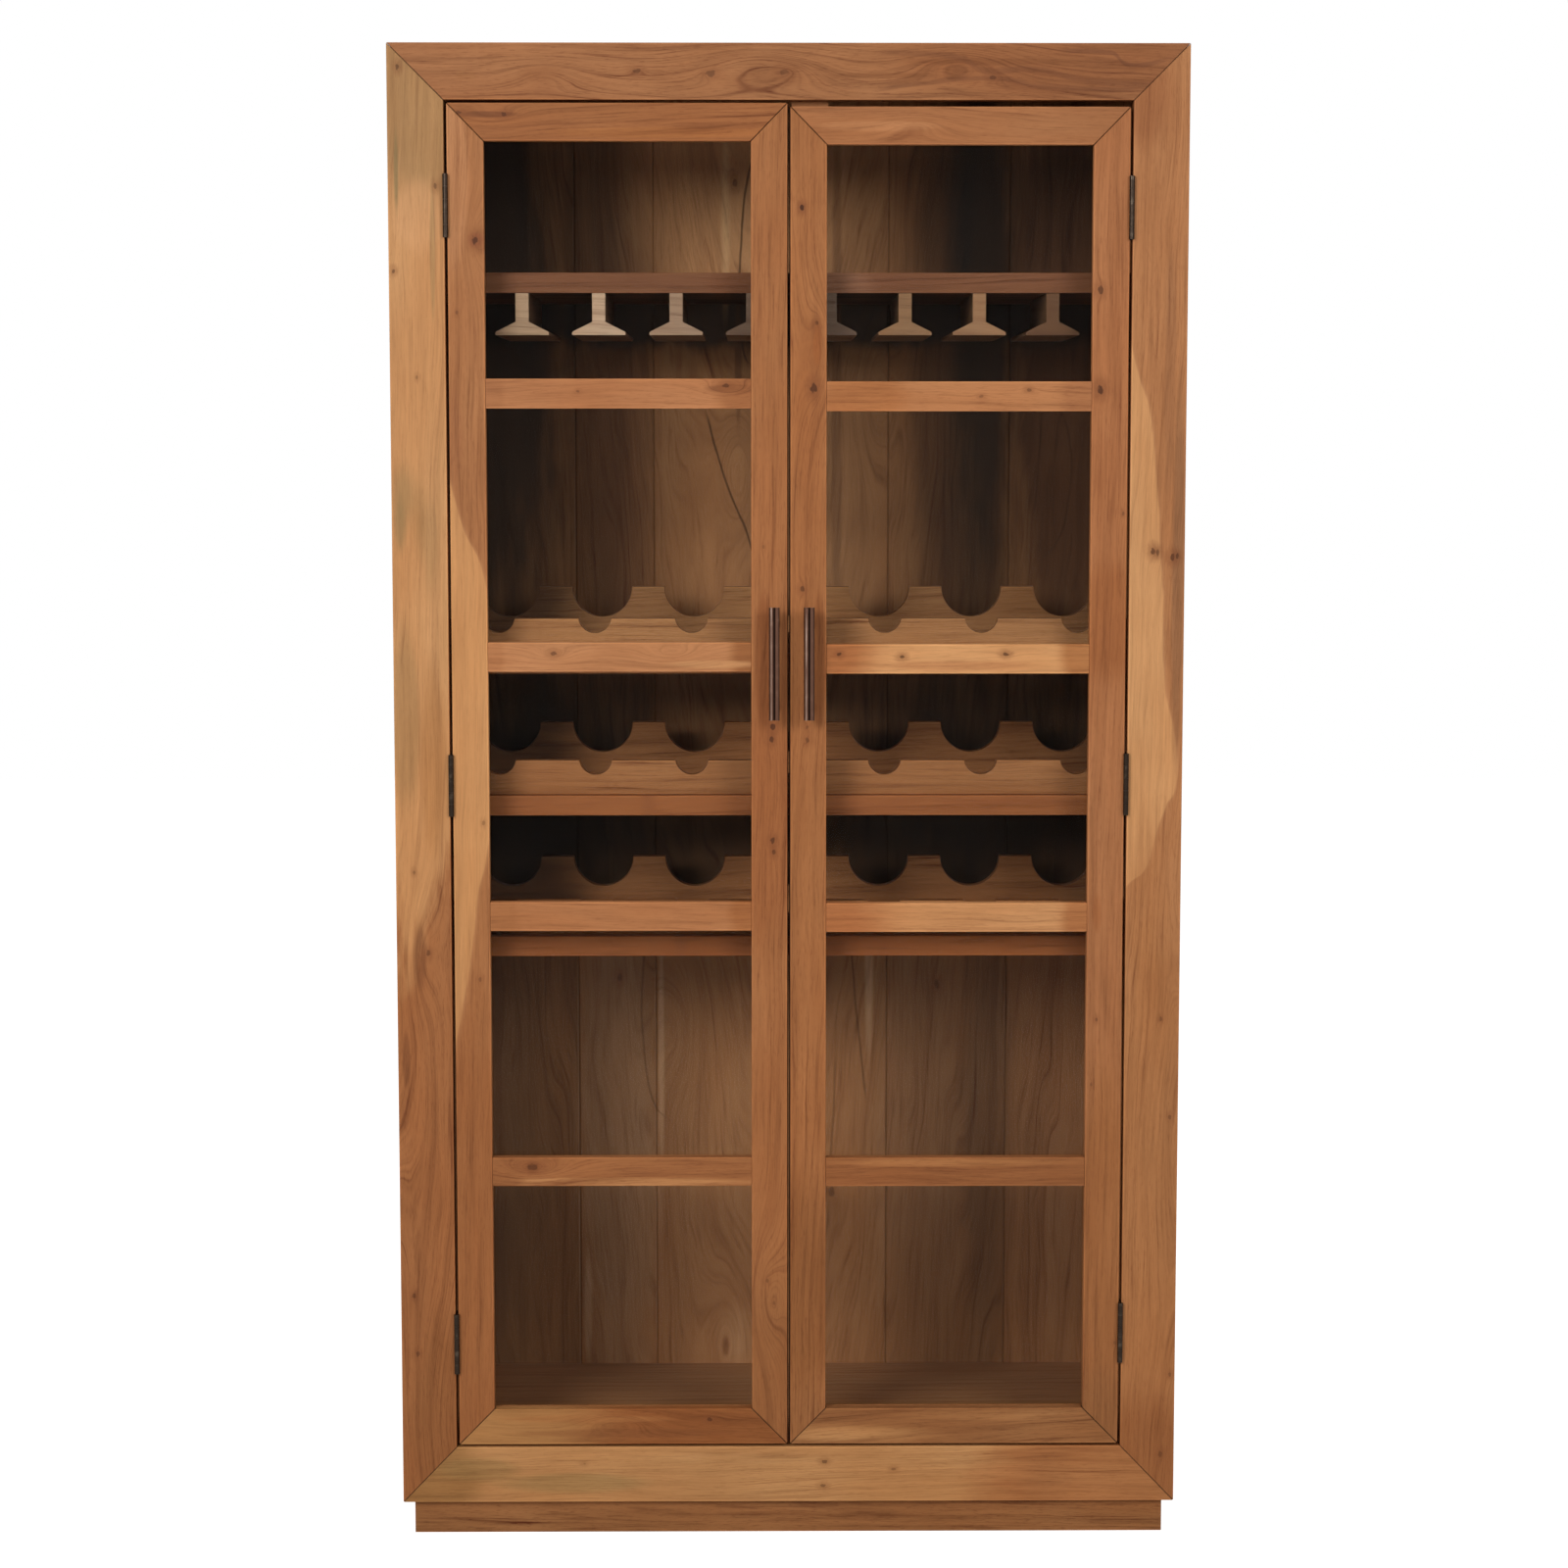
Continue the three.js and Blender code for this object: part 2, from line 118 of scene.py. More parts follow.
def linear(colour: Colour) -> tuple[float, float, float, float]:
    """Turns a screen colour, 0 to 255, into the shader's own scale.

    Args:
        colour: Red, green and blue as they show on a screen.

    Returns:
        Linear red, green, blue and an alpha of 1.
    """
    parts = [value / 255 for value in colour]
    return (*(part / 12.92 if part <= 0.04045 else ((part + 0.055) / 1.055) ** 2.4 for part in parts), 1.0)


class Signal:
    """A number that a shader graph works out, usable in Python expressions."""

    def __init__(self, graph: Graph, socket: bpy.types.NodeSocket) -> None:
        """Wraps one output socket of the graph."""
        self.graph = graph
        self.socket = socket

    def apply(self, operation: str, *others: Signal | float, first: bool = True) -> Signal:
        """Adds a Math node.

        Args:
            operation: The Math node's operation.
            others: The other operands.
            first: Whether this signal is the first operand.

        Returns:
            The node's result.
        """
        operands = [self, *others] if first else [*others, self]
        node = self.graph.node("ShaderNodeMath", {"operation": operation}, dict(enumerate(operands)))
        return Signal(self.graph, node.outputs[0])

    def __add__(self, other: Signal | float) -> Signal:
        """Sum."""
        return self.apply("ADD", other)

    def __radd__(self, other: float) -> Signal:
        """Sum with a number on the left."""
        return self.apply("ADD", other)

    def __sub__(self, other: Signal | float) -> Signal:
        """Difference."""
        return self.apply("SUBTRACT", other)

    def __rsub__(self, other: float) -> Signal:
        """Difference from a number."""
        return self.apply("SUBTRACT", other, first=False)

    def __mul__(self, other: Signal | float) -> Signal:
        """Product."""
        return self.apply("MULTIPLY", other)

    def __rmul__(self, other: float) -> Signal:
        """Product with a number on the left."""
        return self.apply("MULTIPLY", other)

    def __rtruediv__(self, other: float) -> Signal:
        """A number over this signal."""
        return self.apply("DIVIDE", other, first=False)

    def __abs__(self) -> Signal:
        """The number without its sign."""
        return self.apply("ABSOLUTE")

    def root(self) -> Signal:
        """Square root."""
        return self.apply("SQRT")

    def clamp(self) -> Signal:
        """Limits the number to 0 to 1."""
        return Signal(self.graph, self.graph.output("ShaderNodeClamp", {0: self}))

    def ramp(self, start: float, end: float) -> Signal:
        """Goes smoothly from 0 at start to 1 at end, whichever of the two is the larger.

        Args:
            start: Where the result is 0.
            end: Where the result is 1.

        Returns:
            The eased result.
        """
        if start > end:
            return 1 - self.ramp(end, start)
        settings = {"interpolation_type": "SMOOTHSTEP", "clamp": True}
        node = self.graph.node("ShaderNodeMapRange", settings, {0: self, 1: start, 2: end})
        return Signal(self.graph, node.outputs[0])


def largest(first: Signal | None, second: Signal) -> Signal:
    """The larger of two signals, or the second where there is no first."""
    return second if first is None else first.apply("MAXIMUM", second)


class Graph:
    """The node tree of a material or of the world, built by calls."""

    def __init__(self, owner: bpy.types.Material | bpy.types.World) -> None:
        """Empties the owner's node tree and keeps both.

        Args:
            owner: The material or the world.
        """
        owner.use_nodes = True
        self.owner = owner
        self.tree = owner.node_tree
        self.tree.nodes.clear()

    def node(self, kind: str, settings: dict[str, object], inputs: dict[object, object]) -> bpy.types.Node:
        """Adds a node.

        Args:
            kind: The node's type.
            settings: Its own settings, set before its sockets.
            inputs: Values, signals or sockets by the input's name or place.

        Returns:
            The new node.
        """
        node = self.tree.nodes.new(kind)
        for key, value in settings.items():
            setattr(node, key, value)
        for key, value in inputs.items():
            source = value.socket if isinstance(value, Signal) else value
            if isinstance(source, bpy.types.NodeSocket):
                self.tree.links.new(source, node.inputs[key])
            else:
                node.inputs[key].default_value = source
        return node

    def output(self, kind: str, inputs: dict[object, object]) -> bpy.types.NodeSocket:
        """Adds a node without settings and gives its first output."""
        return self.node(kind, {}, inputs).outputs[0]

    def place(self) -> list[Signal]:
        """The point's own place in the cabinet's frame.

        Returns:
            X, Y and Z in millimetres.
        """
        point = self.node("ShaderNodeTexCoord", {}, {}).outputs["Object"]
        parts = self.node("ShaderNodeSeparateXYZ", {}, {0: point})
        return [Signal(self, part) * (1 / MM) for part in parts.outputs]

    def noise(self, point: list[Signal | float], detail: float) -> Signal:
        """Smooth noise about 0, roughly from -0.5 to 0.5.

        Args:
            point: Three coordinates, or a single one for noise along a line.
            detail: How many finer layers are added.

        Returns:
            The noise.
        """
        if len(point) == 1:
            dimensions, inputs = "1D", {"W": point[0]}
        else:
            dimensions = "3D"
            inputs = {"Vector": self.output("ShaderNodeCombineXYZ", dict(enumerate(point)))}
        settings = {"noise_dimensions": dimensions}
        node = self.node("ShaderNodeTexNoise", settings, {**inputs, "Scale": 1.0, "Detail": detail})
        return Signal(self, node.outputs[0]) - 0.5

    def mix(self, share: Signal | float, low: object, high: object,
            blend: str = "MIX") -> bpy.types.NodeSocket:
        """Mixes two colours.

        Args:
            share: How much of the second colour is taken.
            low: The first colour or its socket.
            high: The second colour or its socket.
            blend: The Mix node's blend type.

        Returns:
            The mixed colour's socket.
        """
        settings = {"data_type": "RGBA", "blend_type": blend}
        return self.node("ShaderNodeMix", settings, {0: share, 6: low, 7: high}).outputs[2]

    def finish(self, surface: bpy.types.NodeSocket) -> bpy.types.Material | bpy.types.World:
        """Links the surface to the output.

        Args:
            surface: The surface or background shader.

        Returns:
            The tree's owner.
        """
        kind = "World" if isinstance(self.owner, bpy.types.World) else "Material"
        self.node(f"ShaderNodeOutput{kind}", {}, {"Surface": surface})
        return self.owner

    def solid(self, looks: dict[str, object], relief: Signal, strength: float,
              height: float) -> bpy.types.Material:
        """Ends the material of an opaque piece whose surface has a fine relief.

        Args:
            looks: Values and signals of the Principled shader.
            relief: The relief, from low to high.
            strength: How much of it is seen.
            height: Its height in millimetres.

        Returns:
            The finished material.
        """
        inputs = {"Strength": strength, "Distance": height * MM, "Height": relief}
        bump = self.output("ShaderNodeBump", inputs)
        return self.finish(self.output("ShaderNodeBsdfPrincipled", {**looks, "Normal": bump}))


@dataclass(frozen=True)
class Knot:
    """A knot: its place along and across the grain, its radius and how dark its heart is."""

    along: float
    across: float
    radius: float
    dark: float


@dataclass(frozen=True)
class Patch:
    """A soft oval of another colour, such as sapwood, a stain, a dark streak, painted shade or painted light.

    share is how much of the colour is taken, soft is the width of the oval's edge as a share of its
    size, and calm says that the grain is fainter inside it.
    """

    along: float
    across: float
    half_along: float
    half_across: float
    colour: Colour
    share: float
    soft: float = 0.35
    calm: bool = False


@dataclass(frozen=True)
class Sapwood:
    """A pale zone below a wavy line, which is given by a few points along and across the grain."""

    line: Line
    colour: Colour
    soft: float = 3.0
    rim: Colour = (150, 98, 66)


@dataclass(frozen=True)
class Vein:
    """A thin curved line in the figure, given by points along and across the grain."""

    line: Line
    colour: Colour = (70, 44, 28)
    width: float = 2.2
    share: float = 0.75


@dataclass(frozen=True)
class Seam:
    """A mitre joint's thin dark line: its outer corner and its reach along and across the grain."""

    along: float
    across: float
    reach_along: float
    reach_across: float


@dataclass(frozen=True)
class Timber:
    """The look of one board.

    The grain runs along one axis and the board's width along another. pith is the place across the
    board where its growth rings are centred, cover is how deep the rings' centre lies under the
    board, lean is how fast the rings drift along it, which gives the arches of plain-sawn boards,
    ring is the rings' spacing, wander is how far slow noise bends them and lines is how strong the
    fine dark lines are. A knot without a dark heart is a place where the grain only curls. boards are
    the joints of a glued panel, with one tone for each board. end is the colour of the sawn ends
    where they are paler than the sides; on the glass rails it also paints the light on their fronts.
    low and high are the board's corners, wrapped says that the piece is a frame whose end boards run
    front to back, and one_face says that patches and veins show on its front face alone, which keeps
    the back panel's painted shade on its inside.
    """

    base: Colour
    grain: Axis = Axis.Z
    width: Axis = Axis.X
    pith: float = 0.0
    cover: float = 30.0
    lean: float = 0.02
    ring: float = 11.0
    wander: float = 26.0
    contrast: float = 0.5
    seed: float = 0.0
    lines: float = 1.0
    boards: tuple[float, ...] = ()
    board_tones: tuple[float, ...] = ()
    seams: tuple[Seam, ...] = ()
    low: tuple[float, float, float] = (0.0, 0.0, 0.0)
    high: tuple[float, float, float] = (0.0, 0.0, 0.0)
    wrapped: bool = False
    one_face: bool = False
    knots: tuple[Knot, ...] = ()
    patches: tuple[Patch, ...] = ()
    sapwood: tuple[Sapwood, ...] = ()
    veins: tuple[Vein, ...] = ()
    end: Colour | None = None


@dataclass(frozen=True)
class Layer:
    """A layer of noise in the wood: its three sizes, its detail and how the board's seed moves it."""

    along: float
    across: float
    through: float
    detail: float = 2.0
    seed_across: float = 0.0
    seed_through: float = 0.0


@dataclass(frozen=True)
class Mark:
    """How noise darkens the wood: where it starts to count, where it counts fully and how much."""

    start: float
    full: float
    share: float

    def of(self, noise: Signal) -> Signal:
        """The darkening that a layer of noise gives."""
        return noise.ramp(self.start, self.full) * self.share


@dataclass(frozen=True)
class Figure:
    """The layers of noise in one board's figure, and its growth rings in millimetres."""

    drift: Signal
    waver: Signal
    ring: Signal
    broad: Signal
    streak: Signal
    fibre: Signal
    pores: Signal
    cloud: Signal


class WoodFinish:
    """Builds the material of one board or glued panel from its timber."""

    DEEP: Colour = (150, 106, 82)
    KNOT_HEART: Colour = (62, 32, 18)
    KNOT_RIM: Colour = (120, 68, 38)
    WARM = (1.03, 0.97, 0.84, 1.0)
    COOL = (0.975, 1.01, 0.96, 1.0)

    DRIFT = Layer(380, 75, 75, seed_across=1)
    WAVER = Layer(70, 14, 14, seed_through=1)
    STREAK = Layer(150, 4.2, 9, 3.0, seed_through=5)
    FIBRE = Layer(55, 1.3, 1.5, seed_through=1)
    PORES = Layer(9, 0.9, 0.9, 0.0)
    CLOUD = Layer(130, 55, 55, 3.0, seed_through=-1)
    FLECK = Layer(24, 2.2, 2.2, 1.0, seed_through=1)
    RAGGED = Layer(5, 4, 6)
    LINE_LENGTH = 900
    LINES_PER_RING = 1.15
    LINE_WIDTH = 0.03

    BANDS = Mark(0.02, 0.26, 0.34)
    STREAKS = Mark(0.02, 0.3, 0.5)
    FIBRES = Mark(0.0, 0.26, 0.44)
    PITS = Mark(0.08, 0.26, 0.4)
    LINE_SHARE = 0.9
    SEAM_SHARE = 0.6
    JOINT_SHARE = 0.4
    RIM_SHARE = 0.4
    FLARE_SHARE = 0.6

    # Band of the paler edges, in millimetres from the edge: wear, and a painted highlight on the arrises.
    WORN: Range = (2.4, 0.5)
    JOINT: Range = (1.1, 0.3)
    SEAM: Range = (1.3, 0.5)
    SAWN: Range = (2.6, 1.4)
    FLARE: Range = (3.2, 0.9)
    HEART: Range = (0.9, 0.6)
    VEIN_FADE = 14
    CURL: Range = (7, 2.4)
    KNOT_SHAPE: Range = (2.3, 1.5)

    BOARD_SHIFT = 900
    BOARD_DEPTH = 160
    WRAP_SHIFT = 700
    ROUGH = 0.5
    IOR = 1.46
    SHINE = 0.14

    def __init__(self, name: str, timber: Timber) -> None:
        """Keeps the timber and starts the graph.

        Args:
            name: The material's name.
            timber: The board's look.
        """
        self.timber = timber
        self.graph = Graph(bpy.data.materials.new(name))
        place = self.graph.place()
        depth = next(axis for axis in Axis if axis not in (timber.grain, timber.width))
        self.along = place[timber.grain.value]
        self.across = place[timber.width.value]
        self.depth = place[depth.value]
        self.wear = self.worn_edges(depth)
        if timber.wrapped:
            self.turn_ends(depth)
        self.run = self.along
        middle = (timber.low[depth.value] + timber.high[depth.value]) / 2
        self.shown: Signal | float = self.depth.apply("LESS_THAN", middle) if timber.one_face else 1.0
        self.tone: Signal | None = None
        if timber.boards:
            self.split_boards()

    def from_edge(self, axis: Axis, point: Signal) -> Signal:
        """How far a point is inside the board from the nearer of two opposite faces.

        Args:
            axis: The axis across those faces.
            point: The point's place along it.

        Returns:
            The distance in millimetres.
        """
        low, high = self.timber.low[axis.value], self.timber.high[axis.value]
        return (high - low) / 2 - abs(point - (high + low) / 2)

    def worn_edges(self, depth: Axis) -> Signal:
        """One along the board's four long edges, which are made paler: wear from handling, and a painted
        highlight along the arrises.

        Args:
            depth: The axis through the board.

        Returns:
            The mask.
        """
        across = self.from_edge(self.timber.width, self.across)
        through = self.from_edge(depth, self.depth)
        return across.ramp(*self.WORN) * through.ramp(*self.WORN)

    def turn_ends(self, depth: Axis) -> None:
        """Turns the grain of a frame's end boards to run front to back.

        Args:
            depth: The axis through the frame's front board.
        """
        end = self.from_edge(self.timber.grain, self.along)
        front = self.from_edge(depth, self.depth)
        turned = end.apply("LESS_THAN", front)
        along, through = self.along, self.depth
        self.along = along + turned * (through + self.WRAP_SHIFT - along)
        self.depth = through + turned * (along - through)

    def split_boards(self) -> None:
        """Cuts a glued panel into boards, each with its own figure, tone and a fine joint line."""
        timber = self.timber
        index = 0 * self.across
        tone = 0 * self.across + timber.board_tones[0]
        joint = 0 * self.across
        for number, edge in enumerate(timber.boards):
            past = self.across.apply("GREATER_THAN", edge)
            index = index + past
            tone = tone + past * (timber.board_tones[number + 1] - timber.board_tones[number])
            joint = largest(joint, abs(self.across - edge).ramp(*self.JOINT))
        settings = {"noise_dimensions": "1D"}
        shift = self.graph.node("ShaderNodeTexWhiteNoise", settings, {"W": index + timber.seed})
        amount = Signal(self.graph, shift.outputs[0])
        self.tone = tone * (1 - joint * self.JOINT_SHARE)
        self.run = self.along + amount * self.BOARD_SHIFT
        self.depth = self.depth + amount * self.BOARD_DEPTH

    def layer(self, layer: Layer, along: Signal, across: Signal) -> Signal:
        """One layer of noise.

        Args:
            layer: Its sizes.
            along: The coordinate along the grain.
            across: The coordinate across it, which is the board's own or that of its rings.

        Returns:
            The noise.
        """
        sizes = (layer.along, layer.across, layer.through)
        point = [part * (1 / size) for part, size in zip((along, across, self.depth), sizes)]
        if layer.seed_across:
            point[1] = point[1] + layer.seed_across * self.timber.seed
        if layer.seed_through:
            point[2] = point[2] + layer.seed_through * self.timber.seed
        return self.graph.noise(point, layer.detail)

    def figure(self) -> Figure:
        """Makes all layers of the board's figure.

        Returns:
            The layers.
        """
        timber = self.timber
        drift = self.layer(self.DRIFT, self.run, self.across)
        waver = self.layer(self.WAVER, self.run, self.across)
        ring = self.rings(drift, waver)
        return Figure(drift, waver, ring,
                      broad=self.graph.noise([ring * (1 / timber.ring) + timber.seed], 2.0),
                      streak=self.layer(self.STREAK, self.run, ring),
                      fibre=self.layer(self.FIBRE, self.run, ring),
                      pores=self.layer(self.PORES, self.run, self.across),
                      cloud=self.layer(self.CLOUD, self.run, self.across))

    def local(self, along: float, across: float, reach_along: float, reach_across: float) -> Signal:
        """Squared distance from a point in units of two reaches.

        Args:
            along: The point's place along the grain.
            across: The point's place across the grain.
            reach_along: The unit along the grain.
            reach_across: The unit across the grain.

        Returns:
            The squared distance, without a unit.
        """
        one = (self.along - along) * (1 / reach_along)
        two = (self.across - across) * (1 / reach_across)
        return one * one + two * two

    def rings(self, drift: Signal, waver: Signal) -> Signal:
        """The growth-ring field: each value of it is one ring.

        Args:
            drift: Slow noise.
            waver: Quicker noise.

        Returns:
            The field in millimetres.
        """
        timber = self.timber
        off = self.across + drift * timber.wander + waver * 3 - timber.pith
        depth = self.depth * 0.6 + timber.cover
        ring = (off * off + depth * depth).root() - self.run * timber.lean
        for knot in timber.knots:
            curl_along, curl_across = (reach * knot.radius for reach in self.CURL)
            near = 1 + self.local(knot.along, knot.across, curl_along, curl_across)
            ring = ring + (2 * knot.radius) / (near * near)
        return ring

    def wavy_line(self, line: Line) -> Signal:
        """The place across the board of a line that runs along it.

        Args:
            line: A few points along and across the grain.

        Returns:
            The line's place across the board, in millimetres.
        """
        points = sorted(line)
        low, high = points[0][0], points[-1][0]
        places = [across for _, across in points]
        least, most = min(places), max(places)
        share = (self.along - low) * (1 / (high - low))
        curve = self.graph.node("ShaderNodeFloatCurve", {}, {"Value": share})
        drawn = curve.mapping.curves[0]
        spots = [((along - low) / (high - low), (across - least) / (most - least))
                 for along, across in points]
        drawn.points[0].location = spots[0]
        drawn.points[-1].location = spots[-1]
        for spot in spots[1:-1]:
            drawn.points.new(*spot)
        curve.mapping.update()
        return Signal(self.graph, curve.outputs[0]) * (most - least) + least

    def vein_share(self, vein: Vein, waver: Signal) -> Signal:
        """How much of a vein's colour a point takes.

        Args:
            vein: The vein.
            waver: Quick noise, which makes it uneven.

        Returns:
            The share.
        """
        low, high = min(vein.line)[0], max(vein.line)[0]
        off = abs(self.across + waver * 4 - self.wavy_line(vein.line))
        fade = self.VEIN_FADE
        within = self.along.ramp(low - fade, low + fade) * self.along.ramp(high + fade, high - fade)
        return off.ramp(vein.width, vein.width * 0.3) * within * vein.share * self.shown

    def base_colour(self, drift: Signal, waver: Signal) -> tuple[object, Signal | None]:
        """The board's colour before its grain, with sapwood, stains, streaks, and patches of painted light
        and shade.

        Args:
            drift: Slow noise.
            waver: Quicker noise.

        Returns:
            The colour, as a socket or a plain value, and the share of calm wood where there is any.
        """
        graph, timber = self.graph, self.timber
        colour: object = linear(timber.base)
        calm: Signal | None = None
        for zone in timber.sapwood:
            below = (self.across + waver * 7 + drift * 5 - self.wavy_line(zone.line)) * -1
            share = below.ramp(-zone.soft, zone.soft)
            colour = graph.mix(share, colour, linear(zone.colour))
            rim = (share * (1 - share) * 4).clamp()
            colour = graph.mix(rim * self.RIM_SHARE, colour, linear(zone.rim))
            calm = largest(calm, share)
        for patch in timber.patches:
            away = self.local(patch.along, patch.across, patch.half_along, patch.half_across).root()
            away = away + drift * 0.9 + waver * 0.35
            share = away.ramp(1 + patch.soft, 1 - patch.soft) * patch.share * self.shown
            colour = graph.mix(share, colour, linear(patch.colour))
            if patch.calm:
                calm = largest(calm, share)
        for vein in timber.veins:
            colour = graph.mix(self.vein_share(vein, waver), colour, linear(vein.colour))
        # Paler sawn ends; on the glass rails they also paint the light on the rails' fronts.
        if timber.end is not None:
            sawn = self.from_edge(timber.grain, self.along).ramp(*self.SAWN)
            colour = graph.mix(sawn, colour, linear(timber.end))
        return colour, calm

    def knot_marks(self, colour: object, waver: Signal) -> object:
        """Lays each knot's flare and dark heart over the wood.

        Args:
            colour: The wood's colour.
            waver: Quick noise, which makes the knots uneven.

        Returns:
            The colour with its knots.
        """
        marked = [knot for knot in self.timber.knots if knot.dark]
        if not marked:
            return colour
        ragged = self.layer(self.RAGGED, self.along, self.across)
        for knot in marked:
            long, wide = (reach * knot.radius for reach in self.KNOT_SHAPE)
            away = self.local(knot.along, knot.across, long, wide).root() + waver * 0.9 + ragged * 1.2
            flare = away.ramp(*self.FLARE) * (knot.dark * self.FLARE_SHARE)
            colour = self.graph.mix(flare, colour, linear(self.KNOT_RIM))
            colour = self.graph.mix(away.ramp(*self.HEART) * knot.dark, colour, linear(self.KNOT_HEART))
        return colour

    def seam_mask(self, fibre: Signal) -> Signal | None:
        """One on the thin lines of the board's mitres.

        Args:
            fibre: Fine noise, which breaks the lines up a little.

        Returns:
            The mask, or nothing where the board has no mitre.
        """
        mask = None
        for seam in self.timber.seams:
            one = (self.along - seam.along) * (1 / seam.reach_along)
            two = (self.across - seam.across) * (1 / seam.reach_across)
            off = abs(one - two) * min(abs(seam.reach_along), abs(seam.reach_across))
            within = one.ramp(-0.1, -0.02) * one.ramp(1.1, 1.02)
            mask = largest(mask, (off + fibre * 1.6).ramp(*self.SEAM) * within)
        return mask

    def darkness(self, figure: Figure, calm: Signal | None) -> Signal:
        """How far the grain darkens the wood.

        Args:
            figure: The board's layers.
            calm: The share of wood with a fainter grain.

        Returns:
            The share of the deep tone.
        """
        timber, cloud = self.timber, figure.cloud
        contrast = timber.contrast * (cloud * 0.9 + 0.9)
        if calm is not None:
            contrast = contrast * (1 - calm * 0.5)
        rings = figure.ring * (self.LINES_PER_RING / timber.ring) + timber.seed * 3
        course = self.graph.noise([self.run * (1 / self.LINE_LENGTH), rings, timber.seed], 1.0)
        faded = (figure.streak * 2.2 + cloud * 1.4 + 0.42).clamp()
        lines = abs(course).ramp(self.LINE_WIDTH, 0.0) * faded * timber.lines * self.LINE_SHARE
        deep = self.BANDS.of(figure.broad) + lines + self.STREAKS.of(figure.streak)
        deep = (deep + self.FIBRES.of(figure.fibre) + self.PITS.of(figure.pores)) * contrast
        fleck = self.layer(self.FLECK, self.run, self.across)
        return (deep + fleck.ramp(0.25, 0.42) * (0.4 + cloud)).clamp()

    def brightness(self, figure: Figure) -> Signal:
        """How bright the wood is, with its worn edges and their painted highlight, its boards' tones and its
        mitre lines.

        Args:
            figure: The board's layers.

        Returns:
            The factor on the colour.
        """
        cloud = figure.cloud
        glow = 1.065 + cloud * 0.44 - figure.broad * (0.24 * self.timber.contrast)
        # Paler edges: wear, and a painted highlight along the arrises.
        glow = glow - figure.fibre * 0.3 - figure.streak * 0.32 + self.wear * (cloud * 0.5 + 0.24)
        if self.tone is not None:
            glow = glow * self.tone
        seams = self.seam_mask(figure.fibre)
        return glow if seams is None else glow * (1 - seams * self.SEAM_SHARE)

    def build(self) -> bpy.types.Material:
        """Builds the material.

        Returns:
            The finished material.
        """
        graph, figure = self.graph, self.figure()
        broad, fibre, cloud = figure.broad, figure.fibre, figure.cloud
        colour, calm = self.base_colour(figure.drift, figure.waver)
        glow = self.brightness(figure)
        hue = (figure.drift * 1.6 + cloud * 1.6 + 0.5).clamp()
        for factor in (graph.mix(self.darkness(figure, calm), WHITE, linear(self.DEEP)),
                       graph.mix(hue, self.WARM, self.COOL),
                       graph.output("ShaderNodeCombineXYZ", {0: glow, 1: glow, 2: glow})):
            colour = graph.mix(1.0, colour, factor, "MULTIPLY")
        rough = self.ROUGH + broad * 0.1 + fibre * 0.14 + cloud * 0.1 - self.wear * 0.06
        relief = fibre * 0.6 + figure.streak * 0.4 - figure.pores.ramp(0.1, 0.26) * 0.6
        looks = {"Base Color": self.knot_marks(colour, figure.waver), "Roughness": rough, "IOR": self.IOR,
                 "Specular IOR Level": self.SHINE}
        return graph.solid(looks, relief, 0.4, 0.14)


@dataclass(frozen=True)
class MetalFinish:
    """A worn, coloured metal: its main colour, the colour of its worn spots and its gloss."""

    name: str
    colour: Colour
    worn: Colour
    rough: float
    metallic: float = 1.0
    grooves: tuple[float, float, float] = (0.9, 0.9, 34.0)
    blots: float = 9.0

    def worn_metal(self, graph: Graph, place: list[Signal]) -> tuple[bpy.types.NodeSocket, Signal, Signal]:
        """The metal with its worn spots.

        Args:
            graph: The material's graph.
            place: The point's coordinates.

        Returns:
            The colour, the noise of the brushed grooves and that of the worn spots.
        """
        brush = graph.noise([part * (1 / size) for part, size in zip(place, self.grooves)], 2.0)
        blot = graph.noise([part * (1 / self.blots) for part in place], 3.0)
        return graph.mix(blot.ramp(0.02, 0.24) * 0.7, linear(self.colour), linear(self.worn)), brush, blot

    def build(self) -> bpy.types.Material:
        """Builds the material.

        Returns:
            The finished material.
        """
        graph = Graph(bpy.data.materials.new(self.name))
        colour, brush, blot = self.worn_metal(graph, graph.place())
        rough = self.rough + brush * 0.12 + blot * 0.12
        looks = {"Base Color": colour, "Roughness": rough, "Metallic": self.metallic}
        return graph.solid(looks, brush, 0.2, 0.02)


@dataclass(frozen=True)
class PullFinish(MetalFinish):
    """Bronze of a ridged pull, with a painted highlight along its first crest, and darker beside the ridges:
    patina in the groove, painted shade on the flanks.
    """

    crests: tuple[float, ...] = ()
    radius: float = 0.0
    # dark is patina in the groove and painted shade on the ridges' outer flanks; the pale crest colour is a
    # painted highlight.
    dark: Colour = (34, 17, 11)
    rubbed: Colour = (196, 172, 156)
    cloudy: tuple[float, float, float] = (40.0, 40.0, 46.0)

    def build(self) -> bpy.types.Material:
        """Builds the material.

        Returns:
            The finished material.
        """
        graph = Graph(bpy.data.materials.new(self.name))
        place = graph.place()
        colour, brush, blot = self.worn_metal(graph, place)
        off = abs(place[0] - self.crests[0])
        for crest in self.crests[1:]:
            off = off.apply("MINIMUM", abs(place[0] - crest))
        # Darker beside the ridges: patina in the groove, painted shade on the flanks.
        flank_patina_and_shade = off.ramp(self.radius * 0.5, self.radius * 0.95)
        colour = graph.mix(flank_patina_and_shade * 0.85, colour, linear(self.dark))
        slow = graph.noise([part * (1 / size) for part, size in zip(place, self.cloudy)], 2.0)
        # A painted highlight along the left side of the first crest, broken up by slow noise.
        line = abs(place[0] - (self.crests[0] - self.radius * 0.1)).ramp(0.5, 0.15)
        colour = graph.mix(line * (slow * 2.4 + 0.5).clamp(), colour, linear(self.rubbed))
        rough = self.rough + blot * 0.14 + flank_patina_and_shade * 0.2
        looks = {"Base Color": colour, "Roughness": rough, "Metallic": self.metallic}
        return graph.solid(looks, brush, 0.2, 0.02)


